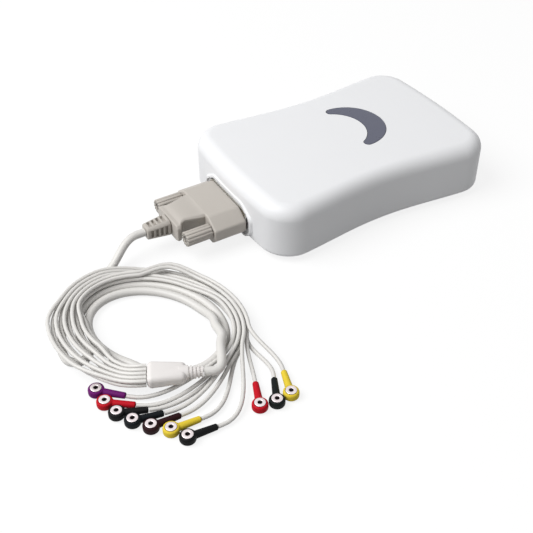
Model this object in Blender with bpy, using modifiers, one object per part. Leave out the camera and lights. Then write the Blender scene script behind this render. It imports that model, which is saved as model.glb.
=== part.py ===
"""PC ECG recorder with its ten-lead patient cable.

A white moulded box holds the amplifier board. It takes a 15-way D-sub plug at one end and a USB cord at the
other. The patient cable lies coiled on the table: a thick trunk wound on itself, a splitter yoke, and ten
thin leads that end in snap connectors. Lengths are in metres. The origin is on the table under the middle of
the box, +X points away from the patient cable's plug and +Z points up.
"""

import math

import bmesh
import bpy
from mathutils import Matrix, Vector

for old in list(bpy.data.objects):
    bpy.data.objects.remove(old, do_unlink=True)

# Clearances that the whole part shares
seat_gap = 0.0003
running_gap = 0.0004
overrun = 0.002
merge_distance = 0.000001

# Case
case_length = 0.1400
case_width = 0.1006
end_bulge = 0.0033
waist_inset = 0.0057
case_bottom = 0.0028
case_top = 0.0340
case_corner = 0.0165
top_round = 0.0080
bottom_round = 0.0030
case_wall = 0.0025
plate_recess = 0.0005
plate_thickness = 0.0025

# Rubber foot strips, and the screws that clamp the plate, the board and the cover
foot_length = 0.0560
foot_width = 0.0080
foot_corner = 0.0024
foot_inset_x = 0.0200
screw_radius = 0.0015
screw_head_radius = 0.0027
screw_head_height = 0.0016
screw_length = 0.0150
case_boss_radius = 0.0036

# Crescent window and its light pipes
crescent_x = 0.0082
crescent_y = 0.0036
crescent_outer_radius = 0.0217
crescent_inner_radius = 0.0189
crescent_inner_shift = 0.0101
crescent_outer_angle = math.radians(87)
crescent_inner_angle = math.radians(58)
window_flange = 0.0014
window_flange_thickness = 0.0012
window_proud = 0.0001
light_pipe_side = 0.0034

# Circuit board and what stands on it
board_top = 0.0082
board_thickness = 0.0016
board_front_clearance = 0.0060
board_rear_clearance = 0.0080
board_side_clearance = 0.0133
board_front = board_front_clearance - case_length / 2
board_rear = case_length / 2 - board_rear_clearance
board_width = case_width - 2 * board_side_clearance
board_hole_inset = 0.0060
transformer_size = (0.0180, 0.0160, 0.0120)
transformer_rear_clearance = 0.0270
transformer_side_clearance = 0.0190
transformer_side = board_width / 2 - transformer_side_clearance
transformer_place = (board_rear - transformer_rear_clearance, transformer_side)
coil_former_size = (0.0100, 0.0190, 0.0060)
shield_size = (0.0380, 0.0420, 0.0060)
shield_clearance = 0.0038
shield_wall = 0.0004
controller_size = (0.0120, 0.0120, 0.0014)
controller_ahead = 0.0050
controller_side = 0.0190
controller_place = (crescent_x + controller_ahead, -controller_side)
lamp_size = (0.0032, 0.0028, 0.0018)

# D-sub pair: the socket is on the board, the plug on the patient cable; the screws' spacing sets their widths
dsub_z = 0.0134
dsub_screw_half_spacing = 0.01666
dsub_contact_pitch = 0.00277
dsub_contact_margin = 0.00125
dsub_row_spacing = 0.00284
dsub_slant = 0.0014
dsub_corner = 0.0016
plug_face_reach = 0.0030
plug_face = -(case_length / 2 + plug_face_reach)
shell_depth = 0.0058
shell_metal = 0.0004
shell_to_screw = 0.00431
socket_shell_width = 2 * (dsub_screw_half_spacing - shell_to_screw)
socket_shell_height = 0.0079
flange_end = 0.00289
flange_width = 2 * (dsub_screw_half_spacing + flange_end)
flange_height = 0.0122
flange_thickness = 0.0008
flange_cut_width = 0.0029
flange_cut_height = 0.0021
insulator_back = 0.0100
insulator_shoulder = 0.00215
insulator_back_width = socket_shell_width + 2 * insulator_shoulder
insulator_inset = 0.0004
contact_bore_radius = 0.00095
pin_radius = 0.00050
pin_length = 0.0046
pin_wafer = 0.0006
post_radius = 0.0027
screw_shaft_radius = 0.00145
screw_shaft_reach = 0.0042

# USB inlet at the far end
usb_width = 0.0120
usb_height = 0.0108
usb_depth = 0.0162
usb_back_wall = 0.0010
usb_mouth_width = 0.0085
usb_mouth_height = 0.0078
usb_tongue_width = 0.0056
usb_tongue_height = 0.0032
usb_tongue_recess = 0.0008
usb_heel_length = 0.0032
usb_chamfer = 0.0018

# Collar that is moulded round the connector, and the opening in the end wall
collar_lip = 0.0012
collar_clearance = 0.0014
collar_projection = 0.0008
collar_flare = 0.0036
collar_root_depth = 0.0060
opening_clearance = 0.00094
opening_width = 2 * (dsub_screw_half_spacing + post_radius + opening_clearance)
opening_height = 0.0112

# Plug hood and the knobs of its two screws
knob_radius = 0.0041
knob_flute_depth = 0.0005
knob_flutes = 10
knob_length = 0.0147
hood_end = 0.00534
hood_top_slope = 0.0080
hood_bottom_slope = 0.0040
hood_half_width = dsub_screw_half_spacing + hood_end
hood_top_half_width = hood_half_width - hood_top_slope
hood_bottom_half_width = hood_half_width - hood_bottom_slope
hood_rise = 0.0070
hood_shoulder_rise = 0.0020
hood_drop = 0.0078
hood_lower_shoulder_drop = 0.0040
hood_block_length = 0.0190
neck_to_knob = 0.00106
neck_waist_inset = 0.0026
neck_flare_width = 0.0002
neck_half_width = dsub_screw_half_spacing - knob_radius - neck_to_knob
neck_waist_half_width = neck_half_width - neck_waist_inset
neck_end_half_width = neck_half_width + neck_flare_width
neck_waist_length = 0.0110
neck_flare_length = 0.0035
neck_end_length = 0.0022
neck_undercut = 0.0022
neck_roof = 0.0034
neck_rise = 0.0068
neck_end_rise = 0.0050
neck_end_drop = 0.0052

# Ladder strain relief behind the hood
relief_length = 0.0132
relief_root_half = 0.0050
relief_tip_half = 0.0037
relief_slots = 4
relief_slot_width = 0.0016
relief_slot_depth = 0.0018

# Cords
trunk_diameter = 0.0044
lead_diameter = 0.0020
table_gap = 0.0003
lay_gap = 0.0005

# How many points the trunk's free run has on its way down to the table, and how far its ends pull it straight
run_points_count = 8
run_pull = 1.05

# The coil lies on an ellipse; its long axis is turned by this angle from +X
coil_reach = 0.0749
coil_x = plug_face - coil_reach
coil_y = -0.0569
coil_half_length = 0.0305
coil_half_width = 0.0225
coil_turn = math.radians(-58.5)
points_per_turn = 24

# Lanes of the trunk: the distance outside the ellipse, and the height of the cord's middle
floor_z = table_gap + trunk_diameter / 2
trunk_pitch = trunk_diameter + lay_gap
over_z = floor_z + trunk_pitch
bend_radius = 0.0058
inner_lane = 0.0024
second_lane = inner_lane + trunk_pitch
hairpin_lane = second_lane + 2 * bend_radius
left_lane = 0.0150
arrive_lane = 0.0190
arrive_degrees = 156
hairpin_degrees = 240

# Lanes of the leads, which leave the yoke five abreast in two rows, go once round and fan out
lead_pitch = lead_diameter + running_gap
low_row = floor_z + trunk_diameter / 2 + lead_diameter / 2 + lay_gap
high_row = low_row + lead_pitch
table_row = table_gap + lead_diameter / 2
middle_row = table_row + lead_pitch
top_row = low_row
exit_lane = 0.0094
spread_lane = 0.0032
spread_pitch = 2 * lead_diameter
settled_lane = 0.0079
outer_first_lane = 0.0126
fanned_lane = 0.0112

# Splitter yoke, its place on the ellipse and its size
yoke_angle = math.radians(-52)
yoke_lane = 0.0128
yoke_length = 0.0178
yoke_width = 0.0130
yoke_height = 0.0074
yoke_bevel = 0.0024
yoke_taper_share = 0.80
yoke_z = 0.0095
yoke_relief_length = 0.0075
yoke_relief_radius = 0.0034
yoke_relief_tip_radius = 0.0027
yoke_relief_ribs = 4
yoke_relief_groove = 0.0006

# Snap connectors
head_radius = 0.0038
head_height = 0.0040
head_edge = 0.0008
boot_reach = 0.0140
stem_root_radius = 0.0019
stem_tip_radius = 0.0015
stem_z = 0.0019
ring_radius = 0.0026
ring_bore_radius = 0.0011
ring_height = 0.0030
ring_bore_depth = 0.0022
ring_proud = 0.0003

visible = bpy.data.collections.new("pc_ecg_recorder")
cutters = bpy.data.collections.new("cutters")
bpy.context.scene.collection.children.link(visible)
bpy.context.scene.collection.children.link(cutters)


def material(name, colour, roughness, metallic=0.0):
    made = bpy.data.materials.get(name) or bpy.data.materials.new(name)
    made.use_nodes = True
    shader = made.node_tree.nodes["Principled BSDF"]
    shader.inputs["Base Color"].default_value = (*colour, 1.0)
    shader.inputs["Roughness"].default_value = roughness
    shader.inputs["Metallic"].default_value = metallic
    return made


def node(name, bm, finish=None, smooth=True):
    """A mesh object from a bmesh; with no finish it is a cutter."""
    bmesh.ops.remove_doubles(bm, verts=bm.verts, dist=merge_distance)
    bmesh.ops.recalc_face_normals(bm, faces=bm.faces)
    mesh = bpy.data.meshes.new(name)
    bm.to_mesh(mesh)
    bm.free()
    made = bpy.data.objects.new(name, mesh)
    if finish is None:
        made.hide_render = True
        made.display_type = "WIRE"
        cutters.objects.link(made)
        return made
    mesh.materials.append(finish)
    if smooth:
        mesh.shade_smooth()
        mesh.set_sharp_from_angle(angle=math.radians(35))
    visible.objects.link(made)
    return made


def boolean(target, tool, operation="DIFFERENCE"):
    change = target.modifiers.new(tool.name, "BOOLEAN")
    change.operation = operation
    change.solver = "EXACT"
    change.object = tool


def place_on(parent, children):
    for child in children:
        child.parent = parent


def joined(*pieces):
    """One bmesh that holds several closed solids side by side."""
    whole = bmesh.new()
    for piece in pieces:
        mesh = bpy.data.meshes.new("piece")
        bmesh.ops.recalc_face_normals(piece, faces=piece.faces)
        piece.to_mesh(mesh)
        piece.free()
        whole.from_mesh(mesh)
        bpy.data.meshes.remove(mesh)
    return whole


def block(low, high, bevel=0.0, segments=2):
    bm = bmesh.new()
    bmesh.ops.create_cube(bm, size=1)
    size = Vector(high) - Vector(low)
    bmesh.ops.scale(bm, vec=size, verts=bm.verts)
    bmesh.ops.translate(bm, vec=Vector(low) + size / 2, verts=bm.verts)
    if bevel:
        bmesh.ops.bevel(bm, geom=bm.edges[:], offset=bevel, segments=segments, profile=0.5, affect="EDGES")
    return bm


def prism(outline, low, high):
    """A closed solid with this Y-Z outline, from x = low to x = high."""
    bm = bmesh.new()
    face = bm.faces.new([bm.verts.new((low, y, z)) for y, z in outline])
    made = bmesh.ops.extrude_face_region(bm, geom=[face])["geom"]
    bmesh.ops.translate(bm, vec=(high - low, 0, 0), verts=[v for v in made if isinstance(v, bmesh.types.BMVert)])
    return bm


def slab(outline, low, high):
    """A closed solid with this X-Y outline, from z = low to z = high."""
    bm = bmesh.new()
    face = bm.faces.new([bm.verts.new((x, y, low)) for x, y in outline])
    made = bmesh.ops.extrude_face_region(bm, geom=[face])["geom"]
    bmesh.ops.translate(bm, vec=(0, 0, high - low), verts=[v for v in made if isinstance(v, bmesh.types.BMVert)])
    return bm


def turned(profile, place, sides=16, hollow=False):
    """A profile of (radius, height) pairs spun round its axis, then put in its place."""
    bm = bmesh.new()
    points = [bm.verts.new((radius, 0, height)) for radius, height in profile]
    pairs = list(zip(points, points[1:]))
    if hollow:
        pairs.append((points[-1], points[0]))
    edges = [bm.edges.new(pair) for pair in pairs]
    bmesh.ops.spin(
        bm,
        geom=points + edges,
        cent=(0, 0, 0),
        axis=(0, 0, 1),
        angle=2 * math.pi,
        steps=sides,
        use_merge=True,
    )
    bmesh.ops.remove_doubles(bm, verts=bm.verts, dist=merge_distance)
    bmesh.ops.recalc_face_normals(bm, faces=bm.faces)
    bm.transform(place)
    return bm


def at(x, y, z):
    return Matrix.Translation((x, y, z))


def along_x(x, y, z):
    """The frame of a turned piece whose axis runs towards -X from this point."""
    return Matrix.Translation((x, y, z)) @ Matrix.Rotation(-math.pi / 2, 4, "Y")


def corners(inset_x, inset_y, half_x, half_y):
    return [(sx * (half_x - inset_x), sy * (half_y - inset_y)) for sx in (-1, 1) for sy in (-1, 1)]


def waisted(x, y):
    """Bows the short ends outwards and draws the long sides in at the middle."""
    half_length = case_length / 2
    half_width = case_width / 2
    bow = end_bulge * (1 - min(1.0, abs(y) / half_width) ** 2)
    draw = waist_inset * math.cos(math.pi / 2 * min(1.0, abs(x) / half_length)) ** 2
    return x * (1 + bow / half_length), y * (1 - draw / half_width)


def case_block(inset, low, high, upper_round, lower_round):
    """The case's rounded form, drawn in by inset on every side, between two heights."""
    half_x = case_length / 2 - inset
    half_y = case_width / 2 - inset
    bm = block((-half_x, -half_y, low), (half_x, half_y, high))
    lengthwise = [e for e in bm.edges if abs((e.verts[0].co - e.verts[1].co).x) > half_x]
    bmesh.ops.subdivide_edges(bm, edges=lengthwise, cuts=7, use_grid_fill=True)
    crosswise = [e for e in bm.edges if abs((e.verts[0].co - e.verts[1].co).y) > half_y]
    bmesh.ops.subdivide_edges(bm, edges=crosswise, cuts=3, use_grid_fill=True)
    upright = [
        e
        for e in bm.edges
        if abs((e.verts[0].co - e.verts[1].co).z) > merge_distance
        and abs(abs(e.verts[0].co.x) - half_x) < merge_distance
        and abs(abs(e.verts[0].co.y) - half_y) < merge_distance
    ]
    bmesh.ops.bevel(
        bm, geom=upright, offset=case_corner - inset, segments=5, profile=0.5, affect="EDGES", clamp_overlap=False
    )
    for height, rounding, steps in ((high, upper_round, 4), (low, lower_round, 2)):
        if rounding:
            rim = [
                e
                for e in bm.edges
                if all(abs(v.co.z - height) < merge_distance for v in e.verts)
                and any(abs(f.normal.z) < 0.5 for f in e.link_faces)
            ]
            bmesh.ops.bevel(
                bm, geom=rim, offset=rounding, segments=steps, profile=0.5, affect="EDGES", clamp_overlap=False
            )
    for vert in bm.verts:
        vert.co.x, vert.co.y = waisted(vert.co.x, vert.co.y)
    return bm


def crescent(offset):
    """The crescent's outline, grown by offset all round."""
    outer = crescent_outer_radius + offset
    inner = crescent_inner_radius - offset
    outer_centre = Vector((crescent_x, crescent_y))
    inner_centre = Vector((crescent_x - crescent_inner_shift, crescent_y))
    points = []
    for step in range(21):
        angle = crescent_outer_angle * (step / 10 - 1)
        points.append(outer_centre + outer * Vector((math.cos(angle), math.sin(angle))))
    inner_arc = []
    for step in range(17):
        angle = crescent_inner_angle * (1 - step / 8)
        inner_arc.append(inner_centre + inner * Vector((math.cos(angle), math.sin(angle))))
    points += tip_arc(points[-1], inner_arc[0])
    points += inner_arc
    points += tip_arc(inner_arc[-1], points[0])
    return points


def tip_arc(start, end):
    """Points of the half circle that rounds a crescent's tip, between its two arcs."""
    centre = (start + end) / 2
    spoke = start - centre
    return [centre + Matrix.Rotation(math.pi * step / 5, 2) @ spoke for step in range(1, 5)]


def d_outline(width, height, corner):
    """The D-shaped outline of the connector, its narrow side down, about its own centre."""
    half = width / 2
    low = half - dsub_slant
    points = [Vector((-low, -height / 2)), Vector((low, -height / 2)), Vector((half, height / 2))]
    points.append(Vector((-half, height / 2)))
    outline = []
    for index, point in enumerate(points):
        before = (points[index - 1] - point).normalized()
        after = (points[(index + 1) % 4] - point).normalized()
        for share in (0.0, 0.5, 1.0):
            blend = before * (1 - share) ** 2 + after * share**2
            outline.append(point + corner * blend)
    return [(y, dsub_z + z) for y, z in outline]


def hood_outline(grow):
    """The hood's Y-Z outline, grown by this much on every side."""
    half = hood_half_width + grow
    top = hood_top_half_width + grow / 2
    bottom = hood_bottom_half_width + grow / 2
    right = [
        (bottom, dsub_z - hood_drop - grow),
        (half, dsub_z - hood_lower_shoulder_drop - grow / 2),
        (half, dsub_z + hood_shoulder_rise + grow / 2),
        (top, dsub_z + hood_rise + grow),
    ]
    return right + [(-y, z) for y, z in reversed(right)]


def loft(outlines):
    """A closed solid through Y-Z outlines of like counts, each at its own x."""
    bm = bmesh.new()
    rings = []
    for x, outline in outlines:
        ring = [bm.verts.new((x, y, z)) for y, z in outline]
        rings.append([bm.edges.new((a, b)) for a, b in zip(ring, ring[1:] + ring[:1])])
    for first, second in zip(rings, rings[1:]):
        bmesh.ops.bridge_loops(bm, edges=first + second)
    for ring in (rings[0], rings[-1]):
        bmesh.ops.contextual_create(bm, geom=ring)
    return bm


white_abs = material("white_case_plastic", (0.84, 0.84, 0.85), 0.32)
plate_abs = material("bottom_plate_plastic", (0.78, 0.78, 0.79), 0.45)
window_acrylic = material("grey_blue_window", (0.145, 0.155, 0.21), 0.25)
rubber = material("foot_rubber", (0.05, 0.05, 0.05), 0.85)
steel = material("zinc_plated_steel", (0.62, 0.62, 0.60), 0.35, 1.0)
nickel = material("nickel_plated_shell", (0.70, 0.68, 0.62), 0.30, 1.0)
gold = material("gold_plated_contact", (0.83, 0.62, 0.25), 0.28, 1.0)
laminate = material("board_laminate", (0.02, 0.16, 0.07), 0.45)
black_resin = material("black_resin", (0.02, 0.02, 0.022), 0.5)
ferrite = material("ferrite_core", (0.07, 0.07, 0.075), 0.6)
lamp_resin = material("lamp_resin", (0.75, 0.80, 0.75), 0.3)
sleeve_aluminium = material("capacitor_sleeve", (0.55, 0.55, 0.57), 0.35, 0.9)
hood_vinyl = material("warm_grey_hood", (0.58, 0.54, 0.49), 0.5)
cord_vinyl = material("warm_grey_cord", (0.70, 0.68, 0.65), 0.5)
yoke_vinyl = material("pale_yoke", (0.80, 0.77, 0.75), 0.5)


# Case
def make_top_cover():
    cover = node("top_cover", case_block(0.0, case_bottom, case_top, top_round, bottom_round), white_abs)
    root = plug_face + collar_root_depth
    front = plug_face - collar_projection
    lip = collar_clearance + collar_lip

    def section(grow):
        """The collar's outline, kept above the case's lower edge."""
        return [(y, max(z, case_bottom + seat_gap)) for y, z in hood_outline(grow)]

    collar = node(
        "collar_form",
        loft(
            [
                (root, section(lip + collar_flare)),
                (front + collar_lip, section(lip + collar_flare / 4)),
                (front, section(lip)),
            ]
        ),
    )
    boolean(cover, collar, "UNION")
    hollow = case_block(case_wall, case_bottom - overrun, case_top - case_wall, top_round - case_wall, 0.0)
    boolean(cover, node("case_hollow", hollow))
    seat = prism(hood_outline(collar_clearance), front - overrun, plug_face + seat_gap)
    boolean(cover, node("collar_mouth", seat))
    half_width = opening_width / 2
    half_height = opening_height / 2
    opening = block(
        (front - overrun, -half_width, dsub_z - half_height), (root + overrun, half_width, dsub_z + half_height)
    )
    boolean(cover, node("connector_opening", opening))
    usb_clear = usb_outer()
    inlet = block(
        (case_length / 2 - case_wall - overrun, -usb_clear[0], usb_clear[1]),
        (case_length / 2 + end_bulge + overrun, usb_clear[0], usb_clear[2]),
    )
    boolean(cover, node("usb_opening", inlet))
    boolean(cover, node("window_opening", slab(crescent(0.0), case_top - case_wall - overrun, case_top + overrun)))
    ceiling = case_top - case_wall
    foot = board_top + seat_gap
    posts = joined(
        *[
            turned(
                [(0, ceiling + case_wall / 2), (case_boss_radius, ceiling + case_wall / 2)]
                + [(case_boss_radius, foot), (0, foot)],
                at(x, y, 0),
                12,
            )
            for x, y in boss_places()
        ]
    )
    boolean(cover, node("case_boss_forms", posts), "UNION")
    pilot = screw_radius + seat_gap
    pilots = joined(
        *[
            turned(
                [(0, screw_end()), (pilot, screw_end()), (pilot, foot - overrun), (0, foot - overrun)],
                at(x, y, 0),
                10,
            )
            for x, y in boss_places()
        ]
    )
    boolean(cover, node("case_boss_pilots", pilots))
    return cover


def plate_top():
    return case_bottom + plate_recess + plate_thickness


def screw_end():
    return case_bottom + plate_recess + screw_length + seat_gap


def boss_places():
    middle = (board_front + board_rear) / 2
    half_x = (board_rear - board_front) / 2
    return [(middle + x, y) for x, y in corners(board_hole_inset, board_hole_inset, half_x, board_width / 2)]


def make_bottom_cover():
    low = case_bottom + plate_recess
    inset = case_wall + seat_gap
    plate = node("bottom_cover", case_block(inset, low, plate_top(), 0.0, 0.0), plate_abs)
    top = board_top - board_thickness - seat_gap
    bosses = joined(
        *[
            turned(
                [(0, top), (case_boss_radius, top)]
                + [(case_boss_radius, low + plate_thickness / 2), (0, low + plate_thickness / 2)],
                at(x, y, 0),
                12,
            )
            for x, y in boss_places()
        ]
    )
    boolean(plate, node("plate_boss_forms", bosses), "UNION")
    head = screw_head_radius + seat_gap
    shank = screw_radius + seat_gap
    sink = low + screw_head_height + seat_gap
    holes = joined(
        *[
            turned(
                [(0, top + overrun), (shank, top + overrun), (shank, sink)]
                + [(head, sink), (head, low - overrun), (0, low - overrun)],
                at(x, y, 0),
                12,
            )
            for x, y in boss_places()
        ]
    )
    boolean(plate, node("plate_holes", holes))


def make_feet():
    top = case_bottom + plate_recess - seat_gap
    half = foot_length / 2
    for name, side in (("foot_strip_plug_end", -1), ("foot_strip_usb_end", 1)):
        x = side * (case_length / 2 - foot_inset_x)
        strip = block((x - foot_width / 2, -half, 0), (x + foot_width / 2, half, top))
        upright = [e for e in strip.edges if abs((e.verts[0].co - e.verts[1].co).z) > merge_distance]
        bmesh.ops.bevel(strip, geom=upright, offset=foot_corner, segments=3, profile=0.5, affect="EDGES")
        node(name, strip, rubber, smooth=False)


def make_screws():
    """Each screw goes up through the plate's boss and the board into the cover's boss."""
    bearing = case_bottom + plate_recess + screw_head_height
    for index, (x, y) in enumerate(boss_places()):
        profile = [
            (0, screw_end() - seat_gap),
            (screw_radius, screw_end() - seat_gap),
            (screw_radius, bearing),
            (screw_head_radius, bearing),
            (screw_head_radius, bearing - screw_head_height),
            (0, bearing - screw_head_height),
        ]
        node("case_screw_%d" % (index + 1), turned(profile, at(x, y, 0), 10), steel)


def lamp_place():
    middle = crescent_outer_radius - (crescent_outer_radius - crescent_inner_radius + crescent_inner_shift) / 2
    return crescent_x + middle, crescent_y


def make_window():
    ceiling = case_top - case_wall
    top = case_top + window_proud
    window = node("crescent_window", slab(crescent(-seat_gap), ceiling - seat_gap, top), window_acrylic)
    under = ceiling - seat_gap
    flange = slab(crescent(window_flange), under - window_flange_thickness, under)
    boolean(window, node("window_flange_form", flange), "UNION")
    half = light_pipe_side / 2
    foot = board_top + lamp_size[2] + 2 * seat_gap
    x, y = lamp_place()
    pipe = block((x - half, y - half, foot), (x + half, y + half, under - window_flange_thickness / 2))
    boolean(window, node("light_pipe_form", pipe), "UNION")


# Circuit board
def standing(size, place, lift=seat_gap, bevel=0.0):
    """A block of this size that stands on the board at this place."""
    x, y = place
    low = board_top + lift
    return block(
        (x - size[0] / 2, y - size[1] / 2, low), (x + size[0] / 2, y + size[1] / 2, low + size[2]), bevel, 1
    )


def make_board():
    low = board_top - board_thickness
    half = board_width / 2
    board = node(
        "main_board", block((board_front, -half, low), (board_rear, half, board_top)), laminate, smooth=False
    )
    radius = screw_radius + seat_gap
    holes = [
        turned(
            [(0, board_top + overrun), (radius, board_top + overrun), (radius, low - overrun), (0, low - overrun)],
            at(x, y, 0),
            10,
        )
        for x, y in boss_places()
    ]
    boolean(board, node("board_holes", joined(*holes)))


def shield_place():
    rear = socket_flange_front() + flange_thickness + seat_gap + insulator_back
    return rear + shield_clearance + shield_size[0] / 2, 0.0


def make_board_parts():
    core = node("isolation_transformer", standing(transformer_size, transformer_place), ferrite, smooth=False)
    former_lift = (transformer_size[2] - coil_former_size[2]) / 2 + seat_gap
    winding = node("winding_form", standing(coil_former_size, transformer_place, former_lift, coil_former_size[2] / 4))
    boolean(core, winding, "UNION")
    shield = node("amplifier_shield", standing(shield_size, shield_place()), nickel, smooth=False)
    inner = tuple(side - 2 * shield_wall for side in shield_size[:2]) + (shield_size[2] + overrun - shield_wall,)
    boolean(shield, node("shield_hollow", standing(inner, shield_place(), seat_gap - overrun)))
    node("microcontroller", standing(controller_size, controller_place), black_resin, smooth=False)
    node("status_lamp", standing(lamp_size, lamp_place()), lamp_resin, smooth=False)


# USB inlet at the far end
def usb_outer():
    """Half width, bottom and top of the hole that the inlet's shell passes through."""
    low = board_top + seat_gap
    return usb_width / 2 + seat_gap, low - seat_gap, low + usb_height + seat_gap


def usb_front():
    return case_length / 2 + end_bulge - seat_gap


def usb_middle():
    return board_top + seat_gap + usb_height / 2


def usb_profile(width, height):
    """The inlet's Y-Z outline at this size, its two upper corners cut off."""
    half = width / 2
    low = usb_middle() - height / 2
    high = usb_middle() + height / 2
    return [(-half, low), (half, low), (half, high - usb_chamfer), (half - usb_chamfer, high)] + [
        (usb_chamfer - half, high),
        (-half, high - usb_chamfer),
    ]


def make_usb_inlet():
    """The metal shell with its lining, and the insulator whose tongue carries the four contacts."""
    back = usb_front() - usb_depth
    shell = node("usb_inlet_shell", prism(usb_profile(usb_width, usb_height), back, usb_front()), nickel, smooth=False)
    mouth = prism(usb_profile(usb_mouth_width, usb_mouth_height), back + usb_back_wall, usb_front() + overrun)
    boolean(shell, node("usb_mouth", mouth))
    half = usb_tongue_width / 2
    rise = usb_tongue_height / 2
    root = back + usb_back_wall + seat_gap
    tip = usb_front() - usb_tongue_recess
    tongue = block((root, -half, usb_middle() - rise), (tip, half, usb_middle() + rise))
    clear = 2 * seat_gap
    heel = prism(usb_profile(usb_mouth_width - clear, usb_mouth_height - clear), root, root + usb_heel_length)
    made = node("usb_inlet_tongue", tongue, material("usb_insulator", (0.75, 0.75, 0.73), 0.5), smooth=False)
    boolean(made, node("usb_heel_form", heel), "UNION")


# D-sub socket on the board
def contact_places():
    """The middles of the contacts: as many in the upper row as the shell takes, and one fewer below."""
    room = socket_shell_width - 2 * (shell_metal + insulator_inset + dsub_contact_margin)
    pitches = math.floor(room / dsub_contact_pitch)
    places = []
    for count, side in ((pitches + 1, 1), (pitches, -1)):
        for step in range(count):
            places.append(((step - (count - 1) / 2) * dsub_contact_pitch, dsub_z + side * dsub_row_spacing / 2))
    return places


def socket_flange_front():
    return plug_face + shell_depth + seat_gap


def socket_tip():
    return plug_face + running_gap


def flange_outline():
    """The Y-Z outline that the socket's flange and the plug's share, with its corners cut off."""
    half_width = flange_width / 2
    half_height = flange_height / 2
    right = [
        (half_width - flange_cut_width, dsub_z - half_height),
        (half_width, dsub_z - half_height + flange_cut_height),
        (half_width, dsub_z + half_height - flange_cut_height),
        (half_width - flange_cut_width, dsub_z + half_height),
    ]
    return right + [(-y, z) for y, z in reversed(right)]


def make_socket():
    front = socket_flange_front()
    back = front + flange_thickness
    shell = node(
        "socket_shell",
        prism(d_outline(socket_shell_width, socket_shell_height, dsub_corner), socket_tip(), front + seat_gap),
        nickel,
    )
    boolean(shell, node("socket_flange_form", prism(flange_outline(), front, back)), "UNION")
    inner_width = socket_shell_width - 2 * shell_metal
    inner_height = socket_shell_height - 2 * shell_metal
    bore = prism(d_outline(inner_width, inner_height, dsub_corner), socket_tip() - overrun, back + overrun)
    boolean(shell, node("socket_shell_bore", bore))
    holes = joined(
        *[
            turned(
                [(0, overrun), (post_radius + seat_gap, overrun), (post_radius + seat_gap, -overrun), (0, -overrun)],
                along_x(front, side * dsub_screw_half_spacing, dsub_z),
                12,
            )
            for side in (-1, 1)
        ]
    )
    boolean(shell, node("socket_flange_holes", holes))
    face_width = inner_width - 2 * insulator_inset
    face_height = inner_height - 2 * insulator_inset
    insulator = node(
        "socket_insulator",
        prism(d_outline(face_width, face_height, dsub_corner), socket_tip(), back + 2 * seat_gap),
        material("socket_insulator_resin", (0.03, 0.06, 0.16), 0.5),
    )
    half_back = insulator_back_width / 2
    body = block(
        (back + seat_gap, -half_back, board_top + seat_gap),
        (back + seat_gap + insulator_back, half_back, dsub_z + flange_height / 2),
    )
    boolean(insulator, node("insulator_body_form", body), "UNION")
    depth = pin_length + pin_wafer + running_gap
    bores = joined(
        *[
            turned(
                [(0, overrun), (contact_bore_radius, overrun), (contact_bore_radius, -depth), (0, -depth)],
                along_x(socket_tip(), y, z),
                8,
            )
            for y, z in contact_places()
        ]
    )
    boolean(insulator, node("contact_bores", bores))


def make_posts():
    """Threaded posts that stand through the socket's flange and take the plug's screws."""
    front = socket_tip()
    depth = screw_shaft_reach + running_gap
    bore = screw_shaft_radius + running_gap
    reach = socket_flange_front() + flange_thickness + seat_gap - front
    for name, side in (("jack_post_near", -1), ("jack_post_far", 1)):
        post = turned(
            [(bore, 0), (post_radius, 0), (post_radius, -reach), (0, -reach), (0, -depth), (bore, -depth)],
            along_x(front, side * dsub_screw_half_spacing, dsub_z),
            6,
            hollow=True,
        )
        node(name, post, steel)


# Plug on the patient cable
def hood_front():
    return plug_face - flange_thickness - seat_gap


def block_rear():
    return hood_front() - hood_block_length


def knob_front():
    return block_rear() - running_gap


def neck_section(half, rise, undercut=0.0, drop=hood_drop):
    """The neck's Y-Z outline at one station: half its width, its reach over and under the axis, its sides' recess."""
    edge = half / 8
    wall = half - undercut
    right = [
        (wall - 2 * edge, dsub_z - drop),
        (wall, dsub_z - hood_lower_shoulder_drop),
        (wall, dsub_z + rise - neck_roof),
        (half, dsub_z + rise - edge),
        (half - edge, dsub_z + rise),
    ]
    return right + [(-y, z) for y, z in reversed(right)]


def neck_rear():
    return block_rear() - neck_waist_length - neck_flare_length - neck_end_length


def make_hood():
    front = hood_front()
    rear = block_rear()
    hood = node("plug_hood", prism(hood_outline(0.0), rear, front), hood_vinyl)
    waist = rear - neck_waist_length
    flare = waist - neck_flare_length
    neck = loft(
        [
            (rear + overrun, neck_section(neck_half_width, neck_rise)),
            (waist, neck_section(neck_waist_half_width, neck_rise, neck_undercut)),
            (flare, neck_section(neck_end_half_width, neck_end_rise, drop=neck_end_drop)),
            (neck_rear(), neck_section(neck_end_half_width, neck_end_rise, drop=neck_end_drop)),
        ]
    )
    boolean(hood, node("neck_form", neck), "UNION")
    pocket_width = insulator_back_width + 2 * seat_gap
    half_height = flange_height / 2 - seat_gap
    pocket = block(
        (front - insulator_back - seat_gap, -pocket_width / 2, dsub_z - half_height),
        (front + overrun, pocket_width / 2, dsub_z + half_height),
    )
    boolean(hood, node("hood_pocket", pocket))
    clear = screw_shaft_radius + running_gap
    holes = joined(
        *[
            turned(
                [(0, hood_block_length + overrun), (clear, hood_block_length + overrun)]
                + [(clear, -overrun), (0, -overrun)],
                along_x(front, side * dsub_screw_half_spacing, dsub_z),
                10,
            )
            for side in (-1, 1)
        ]
    )
    boolean(hood, node("hood_screw_holes", holes))


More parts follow.
